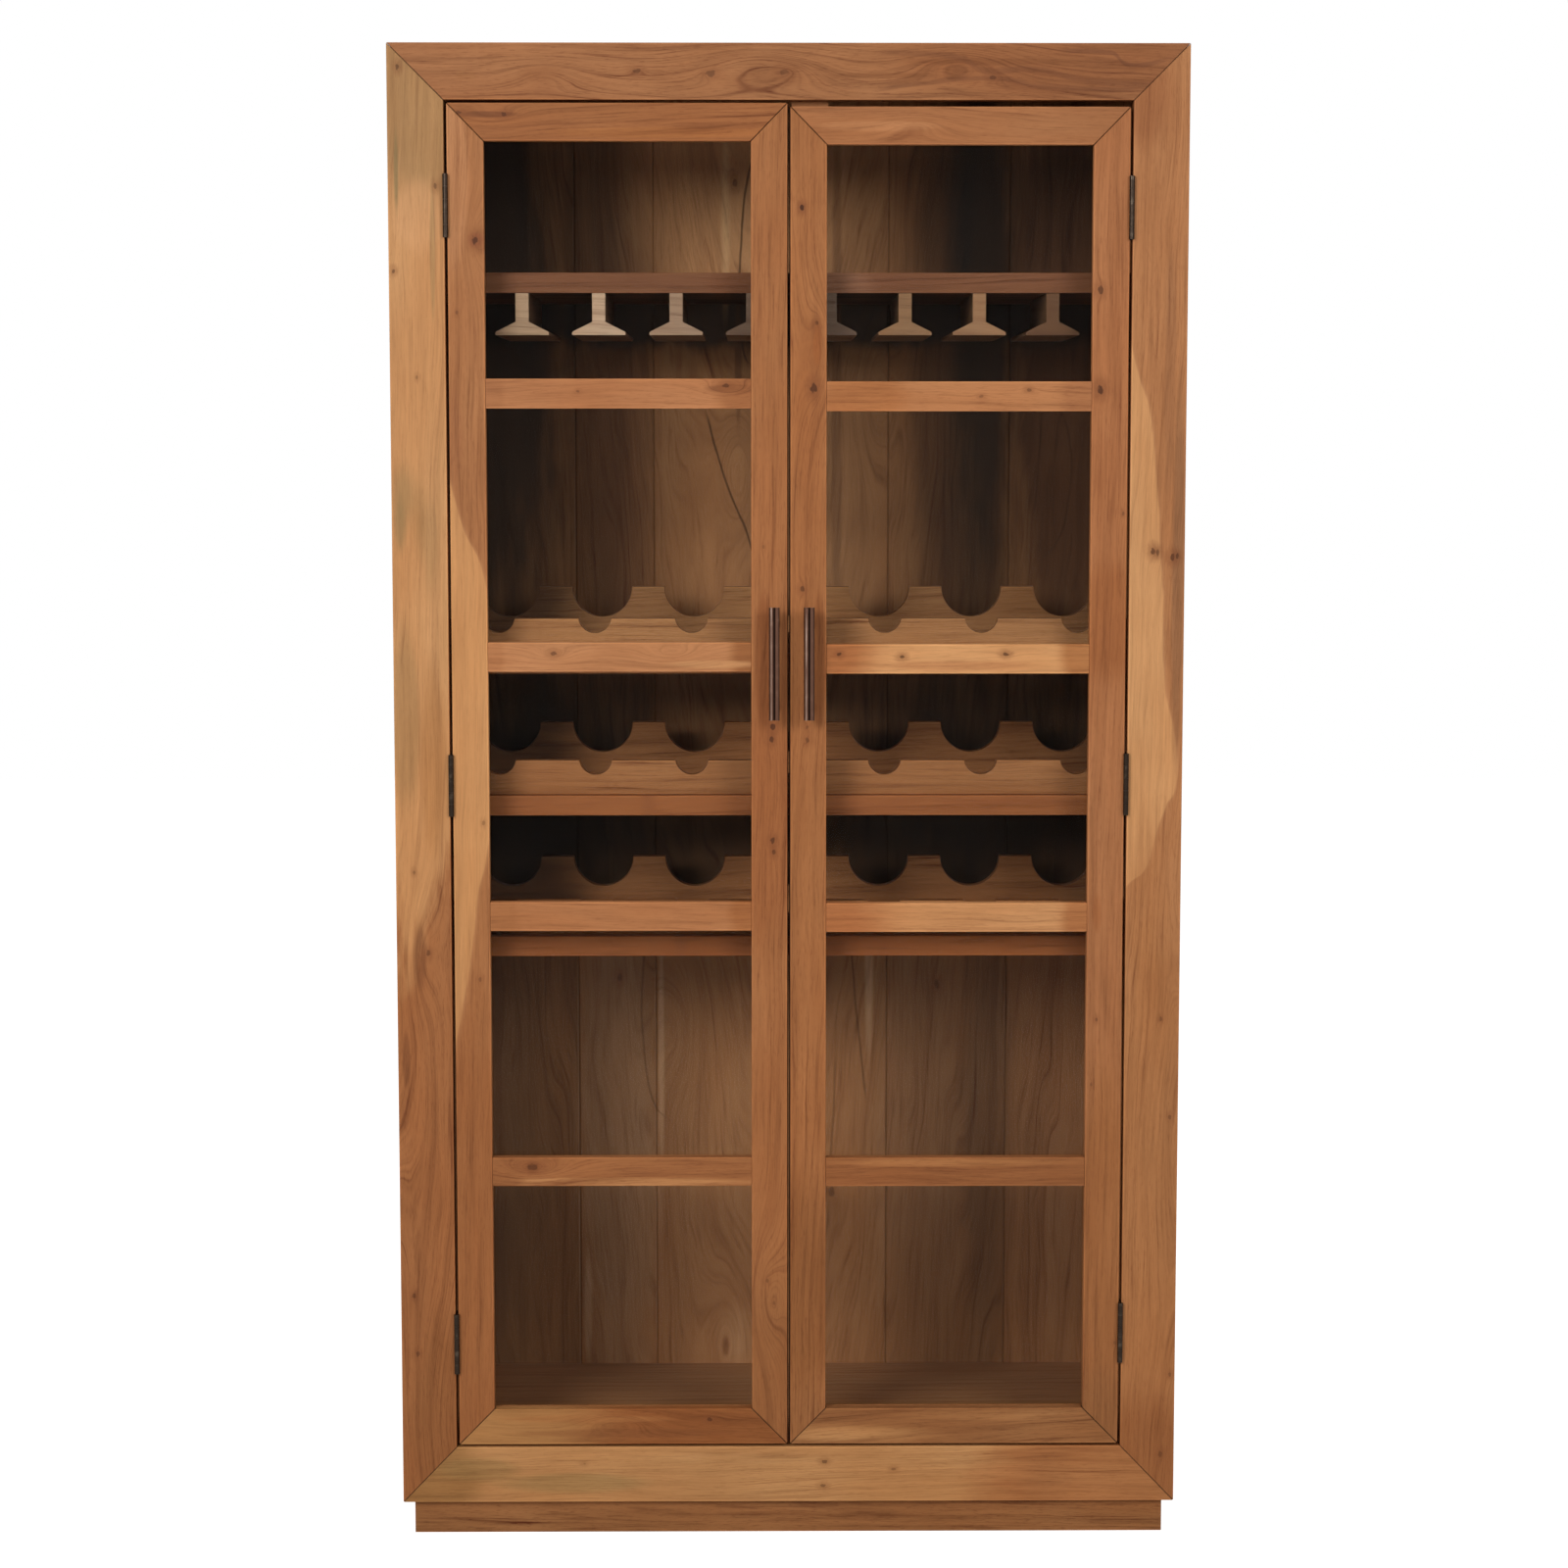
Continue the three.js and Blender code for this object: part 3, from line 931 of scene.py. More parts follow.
@dataclass(frozen=True)
class GlassFinish:
    """Clear window glass with faint wipe marks in its shine."""

    name: str
    smears: tuple[float, float, float] = (110.0, 110.0, 190.0)
    tint: tuple[float, float, float, float] = (0.965, 0.968, 0.96, 1.0)
    rough: float = 0.04
    ior: float = 1.1

    def build(self) -> bpy.types.Material:
        """Builds the material.

        Returns:
            The finished material.
        """
        graph = Graph(bpy.data.materials.new(self.name))
        smear = graph.noise([part * (1 / size) for part, size in zip(graph.place(), self.smears)], 3.0)
        clear = graph.output("ShaderNodeBsdfTransparent", {0: self.tint})
        gloss = graph.output("ShaderNodeBsdfAnisotropic", {"Roughness": self.rough})
        fresnel = Signal(graph, graph.output("ShaderNodeFresnel", {"IOR": self.ior}))
        shine = (fresnel * (1 + smear * 0.8)).clamp()
        return graph.finish(graph.output("ShaderNodeMixShader", {0: shine, 1: clear, 2: gloss}))


@dataclass(frozen=True)
class FeltFinish:
    """Dark brown felt, used for the strips that paint shade in the gap between the doors."""

    name: str
    colour: Colour
    worn: Colour
    fluff: float = 1.2
    blots: float = 30.0
    rough: float = 0.95

    def build(self) -> bpy.types.Material:
        """Builds the material.

        Returns:
            The finished material.
        """
        graph = Graph(bpy.data.materials.new(self.name))
        place = graph.place()
        fluff = graph.noise([part * (1 / self.fluff) for part in place], 3.0)
        blot = graph.noise([part * (1 / self.blots) for part in place], 2.0)
        colour = graph.mix((fluff + blot * 0.6 + 0.4).clamp(), linear(self.colour), linear(self.worn))
        return graph.solid({"Base Color": colour, "Roughness": self.rough}, fluff, 0.5, 0.2)


SAP: Colour = (194, 140, 95)
OLIVE: Colour = (158, 119, 80)
STAIN: Colour = (138, 112, 76)
DARK: Colour = (120, 72, 42)
UMBER: Colour = (104, 60, 36)


def crosswise(**looks: object) -> Timber:
    """The timber of a board that lies across the front, with its grain along X."""
    return Timber(grain=Axis.X, width=Axis.Z, **looks)


class Palette:
    """The timber of every board, by node name."""

    @staticmethod
    def face() -> dict[str, Timber]:
        """The four boards of the face frame."""
        return {
            "face_stile_left": Timber(
                base=(151, 96, 59), pith=-540, lean=0.012, seed=1.3, contrast=0.5, wander=30,
                patches=(Patch(1310, -436, 520, 90, (186, 134, 90), 1.0, 0.12, True),
                         Patch(1735, -436, 130, 70, OLIVE, 0.9, 0.35, True),
                         Patch(1600, -440, 40, 30, (196, 144, 102), 0.6),
                         Patch(1272, -458, 28, 12, STAIN, 0.55, 0.8),
                         Patch(1250, -438, 42, 7, (142, 104, 66), 0.55, 0.8),
                         Patch(1236, -462, 26, 6, STAIN, 0.6, 0.6), Patch(1215, -425, 60, 9, STAIN, 0.3, 0.6),
                         Patch(1010, -458, 90, 16, OLIVE, 0.7),
                         Patch(960, -425, 110, 14, (172, 120, 76), 0.8), Patch(1650, -462, 50, 3, STAIN, 0.9),
                         Patch(1560, -420, 70, 3, STAIN, 0.5), Patch(716, -444, 34, 7, UMBER, 0.5),
                         Patch(590, -462, 30, 4, UMBER, 0.5), Patch(150, -430, 110, 30, (134, 84, 49), 0.7)),
                knots=(Knot(716, -440, 13, 0), Knot(150, -398, 26, 0), Knot(420, -490, 18, 0),
                       Knot(722, -434, 2.2, 0.5), Knot(1772, -459, 2, 0.6), Knot(1634, -416, 1.8, 0.5),
                       Knot(1535, -466, 1.6, 0.6), Knot(300, -456, 1.8, 0.45), Knot(228, -452, 2.0, 0.5),
                       Knot(820, -450, 1.4, 0.4), Knot(1410, -440, 1.2, 0.35))),
            "face_stile_right": Timber(
                base=(168, 113, 74), pith=540, lean=-0.03, seed=4.1, contrast=0.42, wander=34,
                sapwood=(Sapwood(((790, 400), (806, 412), (830, 434), (862, 441), (900, 455), (937, 467),
                                  (985, 464), (1044, 452), (1161, 447), (1335, 435), (1474, 404),
                                  (1560, 398)), SAP),),
                patches=(Patch(400, 440, 420, 60, (164, 109, 69), 1.0, 0.3),
                         Patch(1180, 464, 200, 7, (140, 96, 66), 0.8),
                         Patch(1420, 452, 150, 6, (146, 98, 66), 0.6),
                         Patch(80, 440, 90, 60, (143, 89, 53), 0.9),
                         Patch(1740, 420, 60, 30, (144, 89, 55), 0.7)),
                knots=(Knot(700, 492, 13, 0), Knot(300, 500, 16, 0), Knot(1205, 434, 2.4, 0.75),
                       Knot(1203, 440, 2.0, 0.6), Knot(1198, 457, 2.6, 0.75), Knot(1199, 463, 2.0, 0.6),
                       Knot(640, 450, 1.5, 0.4), Knot(520, 462, 1.6, 0.4), Knot(200, 466, 1.6, 0.4),
                       Knot(100, 455, 2.2, 0.4))),
            "face_rail_top": crosswise(
                base=(153, 101, 66), pith=1850, lean=0.02, seed=7.7, contrast=0.6, lines=1.4,
                patches=(Patch(330, 1768, 190, 40, (140, 88, 55), 0.95), Patch(-15, 1768, 34, 22, DARK, 0.35),
                         Patch(110, 1762, 60, 3.5, DARK, 0.5), Patch(250, 1778, 90, 4, DARK, 0.55),
                         Patch(400, 1756, 60, 5, DARK, 0.4), Patch(-290, 1764, 24, 8, (142, 90, 56), 0.5),
                         Patch(-378, 1762, 12, 6, (146, 96, 58), 0.4)),
                veins=(Vein(((109, 1789), (167, 1787), (205, 1781), (236, 1767), (282, 1770), (340, 1758),
                             (428, 1752)), (112, 68, 44), 5.5, 0.5),
                       Vein(((109, 1746), (159, 1753), (236, 1759), (294, 1750), (378, 1746), (409, 1746)),
                            (112, 68, 44), 4.0, 0.55),
                       Vein(((324, 1791), (378, 1789), (401, 1775), (440, 1780)), (104, 62, 42), 4.0, 0.5)),
                knots=(Knot(-30, 1772, 14, 0), Knot(-285, 1762, 9, 0), Knot(200, 1775, 12, 0),
                       Knot(-178, 1767, 2.4, 0.5), Knot(-91, 1764, 2.6, 0.5), Knot(-6, 1766, 3.0, 0.4),
                       Knot(240, 1760, 2.2, 0.5))),
            "face_rail_bottom": crosswise(
                base=(180, 129, 84), pith=-20, lean=0.014, seed=9.2, contrast=0.38,
                patches=(Patch(420, 76, 180, 70, (164, 107, 66), 1.0, 0.25),
                         Patch(-440, 76, 60, 60, (144, 102, 60), 0.8),
                         Patch(-260, 66, 90, 12, (156, 121, 78), 0.7),
                         Patch(315, 80, 24, 40, (146, 96, 60), 0.3, 0.8),
                         Patch(-380, 84, 50, 14, (146, 112, 70), 0.6),
                         Patch(-60, 96, 120, 8, (180, 132, 88), 0.5)),
                knots=(Knot(44, 92, 1.8, 0.55), Knot(42, 62, 1.8, 0.5), Knot(128, 82, 1.6, 0.4),
                       Knot(-250, 90, 1.2, 0.3))),
        }

    @staticmethod
    def left_door() -> dict[str, Timber]:
        """The boards of the left door."""
        return {
            "left_door_hinge_stile": Timber(
                base=(160, 106, 68), pith=-470, lean=0.012, seed=12.4, contrast=0.42,
                sapwood=(Sapwood(((590, -404), (700, -384), (790, -372), (868, -358), (1040, -352),
                                  (1160, -360), (1230, -384), (1300, -404)), (190, 136, 90)),),
                patches=(Patch(330, -382, 330, 40, (148, 93, 56), 1.0, 0.25),
                         Patch(1640, -394, 90, 16, (178, 125, 87), 0.8),
                         Patch(1340, -396, 60, 10, (150, 96, 62), 0.7),
                         Patch(1571, -369, 9, 9, (146, 88, 58), 0.7)),
                knots=(Knot(1571, -370, 3.2, 0.75), Knot(1571, -366, 9, 0), Knot(880, -366, 1.4, 0.35),
                       Knot(1486, -392, 1.2, 0.35), Knot(690, -372, 1.4, 0.35))),
            "left_door_meeting_stile": Timber(
                base=(155, 99, 61), pith=-90, lean=0.014, seed=15.1, contrast=0.45,
                patches=(Patch(880, -24, 160, 40, (150, 92, 55), 0.8),
                         Patch(200, -22, 130, 40, (144, 93, 57), 0.9),
                         Patch(1072, -30, 76, 11, (134, 78, 44), 0.75, 0.2),
                         Patch(1072, -6, 74, 4, (138, 84, 50), 0.6, 0.3)),
                knots=(Knot(300, -24, 13, 0), Knot(995, -19, 2.4, 0.8), Knot(980, -21, 2.2, 0.7),
                       Knot(858, -19, 2.2, 0.7), Knot(844, -18, 1.9, 0.6), Knot(318, -26, 1.6, 0.35),
                       Knot(290, -18, 1.6, 0.3), Knot(1210, -30, 1.2, 0.3))),
            "left_door_top_rail": crosswise(
                base=(149, 94, 57), pith=1650, lean=0.016, seed=17.0, contrast=0.42,
                patches=(Patch(-352, 1717, 34, 3.5, UMBER, 0.7),
                         Patch(-150, 1696, 120, 6, (162, 102, 58), 0.6)),
                knots=(Knot(-352, 1716, 7, 0), Knot(-334, 1717, 2.2, 0.6), Knot(-388, 1719, 1.8, 0.6))),
            "left_door_bottom_rail": crosswise(
                base=(135, 82, 46), pith=190, lean=0.03, seed=18.6, contrast=0.5,
                patches=(Patch(-352, 134, 100, 46, (164, 116, 72), 1.0, 0.6, True),
                         Patch(-200, 128, 120, 5, DARK, 0.5), Patch(-250, 146, 90, 4, (160, 106, 64), 0.6)),
                knots=(Knot(-97, 145, 2.2, 0.6), Knot(-210, 140, 8, 0))),
            "left_door_muntin_1": crosswise(
                base=(170, 112, 74), pith=1340, lean=0.012, seed=20.1, contrast=0.4,
                patches=(Patch(-66, 1397, 30, 5, UMBER, 0.7), Patch(-50, 1390, 34, 30, (144, 90, 55), 0.75),
                         Patch(-350, 1392, 14, 30, (158, 102, 66), 0.6)),
                knots=(Knot(-75, 1401, 2.2, 0.6), Knot(-70, 1396, 7, 0), Knot(-250, 1394, 1.2, 0.4))),
            "left_door_muntin_2": crosswise(
                base=(177, 120, 81), pith=1020, lean=0.014, seed=21.4, contrast=0.34,
                patches=(Patch(-45, 1079, 26, 40, (144, 90, 53), 0.9),
                         Patch(-90, 1070, 60, 5, (192, 138, 95), 0.8),
                         Patch(-352, 1079, 12, 30, (166, 108, 70), 0.6)),
                knots=(Knot(-281, 1083, 2.0, 0.55), Knot(-281, 1082, 5, 0), Knot(-140, 1083, 7, 0))),
            "left_door_muntin_3": crosswise(
                base=(167, 110, 72), pith=820, lean=0.012, seed=22.8, contrast=0.36,
                patches=(Patch(-45, 766, 26, 40, (154, 95, 55), 0.8),
                         Patch(-350, 766, 24, 40, (156, 101, 63), 0.7))),
            "left_door_muntin_4": crosswise(
                base=(151, 96, 59), pith=410, lean=0.012, seed=24.2, contrast=0.5,
                patches=(Patch(-200, 441, 170, 5, (182, 127, 83), 0.75),
                         Patch(-350, 453, 26, 40, (140, 88, 53), 0.8),
                         Patch(-311, 459, 9, 7, (128, 76, 44), 0.75)),
                knots=(Knot(-311, 459, 3.4, 0.6), Knot(-311, 459, 8, 0))),
        }

    @staticmethod
    def right_door() -> dict[str, Timber]:
        """The boards of the right door."""
        return {
            "right_door_meeting_stile": Timber(
                base=(157, 101, 62), pith=90, lean=-0.014, seed=27.3, contrast=0.5,
                patches=(Patch(1430, 32, 70, 6, DARK, 0.5), Patch(300, 22, 130, 40, (136, 85, 49), 0.9),
                         Patch(100, 22, 80, 40, (143, 93, 57), 0.8),
                         Patch(1350, 26, 120, 16, (150, 93, 55), 0.6),
                         Patch(1450, 34, 26, 5, (150, 88, 48), 0.6),
                         Patch(1072, 36, 76, 8, (136, 80, 45), 0.7, 0.2)),
                knots=(Knot(1440, 36, 12, 0), Knot(1609, 15, 2.0, 0.9), Knot(1474, 33, 2.2, 0.5),
                       Knot(1398, 30, 3.2, 0.75), Knot(1160, 16, 2.2, 0.6), Knot(995, 22, 1.8, 0.4),
                       Knot(979, 22, 2.2, 0.5))),
            "right_door_hinge_stile": Timber(
                base=(162, 105, 68), pith=470, lean=-0.012, seed=29.9, contrast=0.4,
                patches=(Patch(1120, 382, 60, 40, (148, 91, 54), 0.8),
                         Patch(330, 382, 260, 40, (150, 96, 58), 0.9),
                         Patch(100, 382, 110, 40, (138, 89, 54), 0.9),
                         Patch(770, 371, 26, 6, (150, 88, 50), 0.5)),
                knots=(Knot(1513, 368, 2.4, 0.65), Knot(1396, 370, 3.2, 0.8), Knot(1250, 398, 1.4, 0.4),
                       Knot(640, 372, 1.4, 0.4), Knot(560, 366, 1.4, 0.35), Knot(240, 398, 1.2, 0.35))),
            "right_door_top_rail": crosswise(
                base=(156, 102, 66), pith=1770, lean=0.014, seed=31.2, contrast=0.38,
                patches=(Patch(110, 1704, 60, 5, (176, 122, 84), 0.6),),
                knots=(Knot(150, 1704, 7, 0),)),
            "right_door_bottom_rail": crosswise(
                base=(143, 94, 58), pith=90, lean=0.03, seed=33.5, contrast=0.5,
                patches=(Patch(70, 126, 90, 9, (184, 132, 86), 0.8, 0.6),
                         Patch(260, 150, 110, 7, (168, 116, 74), 0.6))),
            "right_door_muntin_1": crosswise(
                base=(171, 114, 75), pith=1440, lean=0.012, seed=35.8, contrast=0.42,
                patches=(Patch(85, 1392, 50, 40, (164, 104, 63), 0.9),
                         Patch(350, 1392, 26, 40, (154, 99, 64), 0.8)),
                knots=(Knot(285, 1396, 1.6, 0.5), Knot(228, 1388, 1.4, 0.4))),
            "right_door_muntin_2": crosswise(
                base=(197, 142, 96), pith=1030, lean=0.012, seed=37.6, contrast=0.3,
                patches=(Patch(56, 1082, 44, 44, (162, 101, 61), 1.0, 0.7),
                         Patch(352, 1080, 26, 40, (161, 103, 61), 0.9),
                         Patch(200, 1068, 90, 6, (180, 121, 80), 0.7)),
                knots=(Knot(135, 1079, 1.8, 0.7), Knot(259, 1082, 1.8, 0.7), Knot(60, 1082, 1.7, 0.7))),
            "right_door_muntin_3": crosswise(
                base=(190, 134, 90), pith=710, lean=0.012, seed=39.1, contrast=0.34,
                patches=(Patch(54, 766, 56, 50, (164, 104, 65), 1.0, 0.8),
                         Patch(352, 766, 26, 40, (162, 102, 62), 0.9))),
            "right_door_muntin_4": crosswise(
                base=(141, 88, 53), pith=400, lean=0.012, seed=41.7, contrast=0.45,
                patches=(Patch(200, 464, 130, 4.5, (166, 110, 68), 0.75),)),
        }

    @staticmethod
    def panels() -> dict[str, Timber]:
        """The rack board, and the floor and back panels."""
        return {
            "rack_board": crosswise(
                base=(120, 77, 53), pith=1440, seed=50.3, ring=5, contrast=0.6,
                patches=(Patch(60, 1522, 40, 20, (150, 106, 84), 0.6),
                         Patch(-60, 1522, 40, 20, (112, 66, 40), 0.6),
                         # Painted shadow along the board's lower front edge.
                         Patch(0, 1507, 1200, 5, (52, 34, 26), 0.95, 0.2))),
            "floor_panel": Timber(
                base=(160, 116, 82), grain=Axis.X, width=Axis.Y, pith=-300, seed=52.2, contrast=0.6,
                boards=(-60, 70), board_tones=(0.95, 1.05, 1.0)),
            "back_panel": Timber(
                base=(160, 112, 76), one_face=True, pith=-20, cover=80, lean=0.05, ring=22, wander=80,
                seed=54.6, contrast=0.5, boards=(-274, -172, -20, 133, 291),
                # The side boards' darker tones partly paint shade near the side walls.
                board_tones=(0.74, 0.92, 0.97, 0.95, 0.88, 0.9),
                # The broad patches paint light and shade on the inner face together with the wood's own tone:
                # darker towards both sides and in the bottle rows, a painted shadow under the rack board
                # (along 1492), paler patches that paint light on the middle and top of the upper back, and
                # the patches along 420 shape the light and shade on the lower back. The narrow patches and
                # the veins are figure.
                patches=(Patch(1480, -112, 460, 60, (168, 118, 79), 0.75, 0.5),
                         Patch(1400, -224, 400, 50, (112, 74, 50), 0.65, 0.5),
                         Patch(1400, 40, 460, 90, (142, 102, 70), 0.6, 0.4),
                         Patch(1650, -70, 110, 160, (214, 158, 112), 0.8, 0.5),
                         Patch(1480, -250, 420, 40, (96, 64, 43), 0.6, 0.4),
                         Patch(1450, -390, 430, 100, (42, 29, 22), 0.92, 0.4),
                         Patch(1450, 205, 400, 40, (74, 48, 34), 0.65, 0.5),
                         Patch(1480, 256, 420, 46, (38, 26, 19), 0.92, 0.5),
                         Patch(1430, 360, 420, 70, (78, 50, 35), 0.85, 0.4),
                         Patch(1492, 0, 36, 620, (36, 26, 21), 0.9, 0.3),
                         Patch(880, -340, 140, 190, (30, 22, 18), 0.85, 0.5),
                         Patch(880, 260, 140, 200, (34, 24, 18), 0.8, 0.5),
                         Patch(790, 0, 70, 620, (52, 36, 27), 0.6, 0.5),
                         Patch(420, -400, 330, 80, (104, 78, 60), 0.5, 0.5),
                         Patch(420, -223, 320, 50, (170, 128, 96), 0.75, 0.3),
                         Patch(420, 180, 320, 60, (160, 116, 84), 0.7, 0.4),
                         Patch(420, 268, 320, 30, (100, 74, 58), 0.5, 0.6),
                         Patch(420, 360, 320, 60, (152, 106, 76), 0.5, 0.4),
                         Patch(1360, 66, 420, 7, (104, 68, 46), 0.5),
                         Patch(1450, -62, 90, 5, (92, 58, 36), 0.6),
                         Patch(1620, -78, 100, 6, (232, 186, 140), 0.6, 0.6),
                         Patch(1600, -248, 130, 4, (128, 94, 68), 0.5, 0.6),
                         Patch(540, -165, 130, 4, (206, 164, 128), 0.6, 0.5),
                         Patch(190, -264, 60, 5, (206, 166, 130), 0.6, 0.5),
                         Patch(140, -66, 34, 20, (190, 148, 112), 0.35, 0.8),
                         Patch(625, 110, 80, 5, (204, 164, 128), 0.65, 0.5)),
                veins=(Vein(((1434, -44), (1500, -60), (1556, -60), (1704, -42))),
                       Vein(((1150, -34), (1215, -51), (1285, -79), (1367, -102))),
                       Vein(((470, 106), (560, 96), (690, 84)), share=0.5),
                       Vein(((440, -158), (560, -190), (690, -184)), share=0.4),
                       Vein(((150, 20), (400, 60), (520, 66)), share=0.4),
                       Vein(((1180, 330), (1300, 372), (1380, 352)), share=0.5)),
                knots=(Knot(1300, -60, 16, 0), Knot(560, -150, 20, 0), Knot(1390, 120, 18, 0),
                       Knot(340, 60, 3.2, 0.5), Knot(1668, -66, 3.0, 0.5), Knot(630, -220, 3.0, 0.5),
                       Knot(620, 200, 3.0, 0.45), Knot(135, -78, 14, 0))),
        }

    @staticmethod
    def bottle_rows() -> dict[str, Timber]:
        """The shelf, the neck rail and the bottle rail of each row, from the top down.

        Returns:
            Their timbers.
        """
        bases = (((172, 112, 72), (172, 122, 82), (160, 114, 76)),
                 ((150, 91, 54), (158, 106, 68), (156, 105, 67)),
                 ((142, 82, 44), (152, 100, 64), (150, 100, 64)))
        timbers = {}
        # The dark patches at the left ends of each row, and at the bottle rail's right end, paint the shade
        # near the side walls; the lower the row, the further the neck rail's painted shade reaches.
        for row, (shelf, neck, body) in enumerate(bases, start=1):
            middle = LOWEST_ROW + ROW_PITCH * (len(bases) - row)
            timbers[f"shelf_{row}"] = Timber(
                base=shelf, grain=Axis.X, width=Axis.Y, pith=-260, seed=60.4 + row * 2.3,
                boards=(-30, 90), board_tones=(1.0, 0.95, 1.04),
                patches=(Patch(-432, -125, 50, 60, (96, 56, 34), 0.7, 0.5),),
                knots=(Knot(-251 + 40 * row, -122, 1.8, 0.5),))
            timbers[f"neck_rail_{row}"] = crosswise(
                base=neck, pith=middle - 97, ring=9, seed=70.4 + row * 2.7, contrast=0.6,
                patches=(Patch(-440, middle, 30 + 22 * row, 120, (70, 44, 30), 0.85),))
            timbers[f"bottle_rail_{row}"] = crosswise(
                base=body, pith=middle - 77, ring=9, seed=80.4 + row * 2.1, contrast=0.6,
                patches=(Patch(-400, middle, 150, 120, (72, 48, 34), 0.85),
                         Patch(430, middle, 80, 120, (96, 66, 46), 0.6, 0.5)))
        return timbers

    @staticmethod
    def glass_rails() -> dict[str, Timber]:
        """The T rails for stemmed glasses, whose sawn ends each have their own tone, partly painted light on
        the fronts, over a darker base that partly paints shade on the sides.

        Returns:
            Their timbers.
        """
        # Each end's tone partly paints the light that falls on that rail's front, and the darker base below
        # partly paints shade on the rails' sides.
        ends = ((172, 142, 118), (190, 160, 138), (162, 132, 112), (118, 94, 80), (112, 90, 78),
                (144, 108, 80), (156, 118, 90), (104, 74, 54))
        timbers = {}
        for number, end in enumerate(ends, start=1):
            timbers[f"glass_rail_{number}"] = Timber(
                base=(116, 87, 66), grain=Axis.Y, width=Axis.X, pith=-440 + 90 * number, ring=6,
                seed=90.4 + number * 1.9, contrast=0.5, end=end)
        return timbers

    @staticmethod
    def case() -> dict[str, Timber]:
        """The outer panels and the plinth."""
        return {
            "side_panel_left": Timber(
                base=(170, 117, 78), width=Axis.Y, pith=-40, lean=0.03, ring=13, wander=40, seed=101.5,
                contrast=0.55, boards=(-60, 75), board_tones=(1.0, 1.06, 0.95),
                knots=(Knot(2010, -95, 4.3, 0.6), Knot(1180, 20, 3.6, 0.6), Knot(1640, 130, 3.6, 0.6))),
            "side_panel_right": Timber(
                base=(166, 112, 74), width=Axis.Y, pith=30, lean=-0.03, ring=13, wander=40, seed=113.2,
                contrast=0.55, boards=(-50, 60), board_tones=(1.05, 0.94, 1.0),
                knots=(Knot(1500, -80, 3.6, 0.6), Knot(900, 120, 4.3, 0.6))),
            "top_panel": Timber(
                base=(168, 114, 76), grain=Axis.X, width=Axis.Y, pith=-30, ring=13, wander=40, seed=121.3,
                contrast=0.5, boards=(-55, 70), board_tones=(1.0, 1.05, 0.96),
                knots=(Knot(420, -90, 3.6, 0.6),)),
            "plinth": crosswise(
                base=(142, 94, 58), pith=60, cover=12, lean=0.01, ring=5, wander=16, seed=131.9,
                contrast=0.75, wrapped=True),
        }


def box_mm(node: str) -> tuple[Vector, Vector]:
    """The lowest and highest corner of a CAD node, in millimetres."""
    low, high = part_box(node)
    return Vector(low) / MM, Vector(high) / MM


def with_box(timber: Timber, node: str) -> Timber:
    """The timber with its board's corners, taken from the CAD node."""
    low, high = box_mm(node)
    return replace(timber, low=tuple(low), high=tuple(high))


def new_object(name: str, maker: bmesh.types.BMesh, scale: float = MM) -> bpy.types.Object:
    """Makes an object at the origin from a bmesh, and frees the bmesh.

    Args:
        name: The object's name.
        maker: The geometry.
        scale: Metres in one unit of it.

    Returns:
        The object.
    """
    bmesh.ops.scale(maker, vec=(scale, scale, scale), verts=maker.verts)
    mesh = bpy.data.meshes.new(name)
    maker.to_mesh(mesh)
    maker.free()
    piece = bpy.data.objects.new(name, mesh)
    bpy.context.scene.collection.objects.link(piece)
    return piece


def mesh_piece(name: str, maker: bmesh.types.BMesh, material: bpy.types.Material,
               smooth: float = 0.0) -> bpy.types.Object:
    """Makes a piece at the origin from a bmesh in millimetres, and frees the bmesh.

    Args:
        name: The object's name.
        maker: The geometry.
        material: Its material.
        smooth: Angle in degrees under which neighbouring faces are shaded as one, or 0 for flat faces.

    Returns:
        The object.
    """
    bmesh.ops.recalc_face_normals(maker, faces=maker.faces)
    piece = new_object(name, maker)
    mesh = piece.data
    mesh.materials.append(material)
    if smooth:
        mesh.polygons.foreach_set("use_smooth", [True] * len(mesh.polygons))
        mesh.set_sharp_from_angle(angle=math.radians(smooth))
        piece.modifiers.new("even_normals", "WEIGHTED_NORMAL").keep_sharp = True
    return piece


def fit(piece: bpy.types.Object, body: str, node: str = "") -> None:
    """Tells the frame where a finished piece belongs.

    Args:
        piece: The piece.
        body: The body that it moves with.
        node: The CAD node that it replaces, if any.
    """
    if node:
        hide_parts(node)
    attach(piece, body)
    LOG.info("%s rides on %s", piece.name, body)


def skin(rings: list[list[tuple[float, float, float]]]) -> bmesh.types.BMesh:
    """Joins rings of points with quads and closes both ends.

    Args:
        rings: The rings, each with the same number of points.

    Returns:
        The solid as a bmesh.
    """
    maker = bmesh.new()
    loops = [[maker.verts.new(place) for place in ring] for ring in rings]
    count = len(loops[0])
    for below, above in zip(loops, loops[1:]):
        for corner in range(count):
            after = (corner + 1) % count
            maker.faces.new((below[corner], below[after], above[after], above[corner]))
    maker.faces.new(loops[0][::-1])
    maker.faces.new(loops[-1])
    return maker


def prism(outline: list[tuple[float, float]], low: float, high: float, axis: Axis) -> bmesh.types.BMesh:
    """Extrudes a closed outline along an axis.

    Args:
        outline: Points in the two other axes, in their order.
        low: Where it starts along the axis.
        high: Where it ends.
        axis: The axis.

    Returns:
        The solid as a bmesh.
    """
    maker = skin([[(*point[:axis.value], level, *point[axis.value:]) for point in outline]
                  for level in (low, high)])
    bmesh.ops.recalc_face_normals(maker, faces=maker.faces)
    return maker


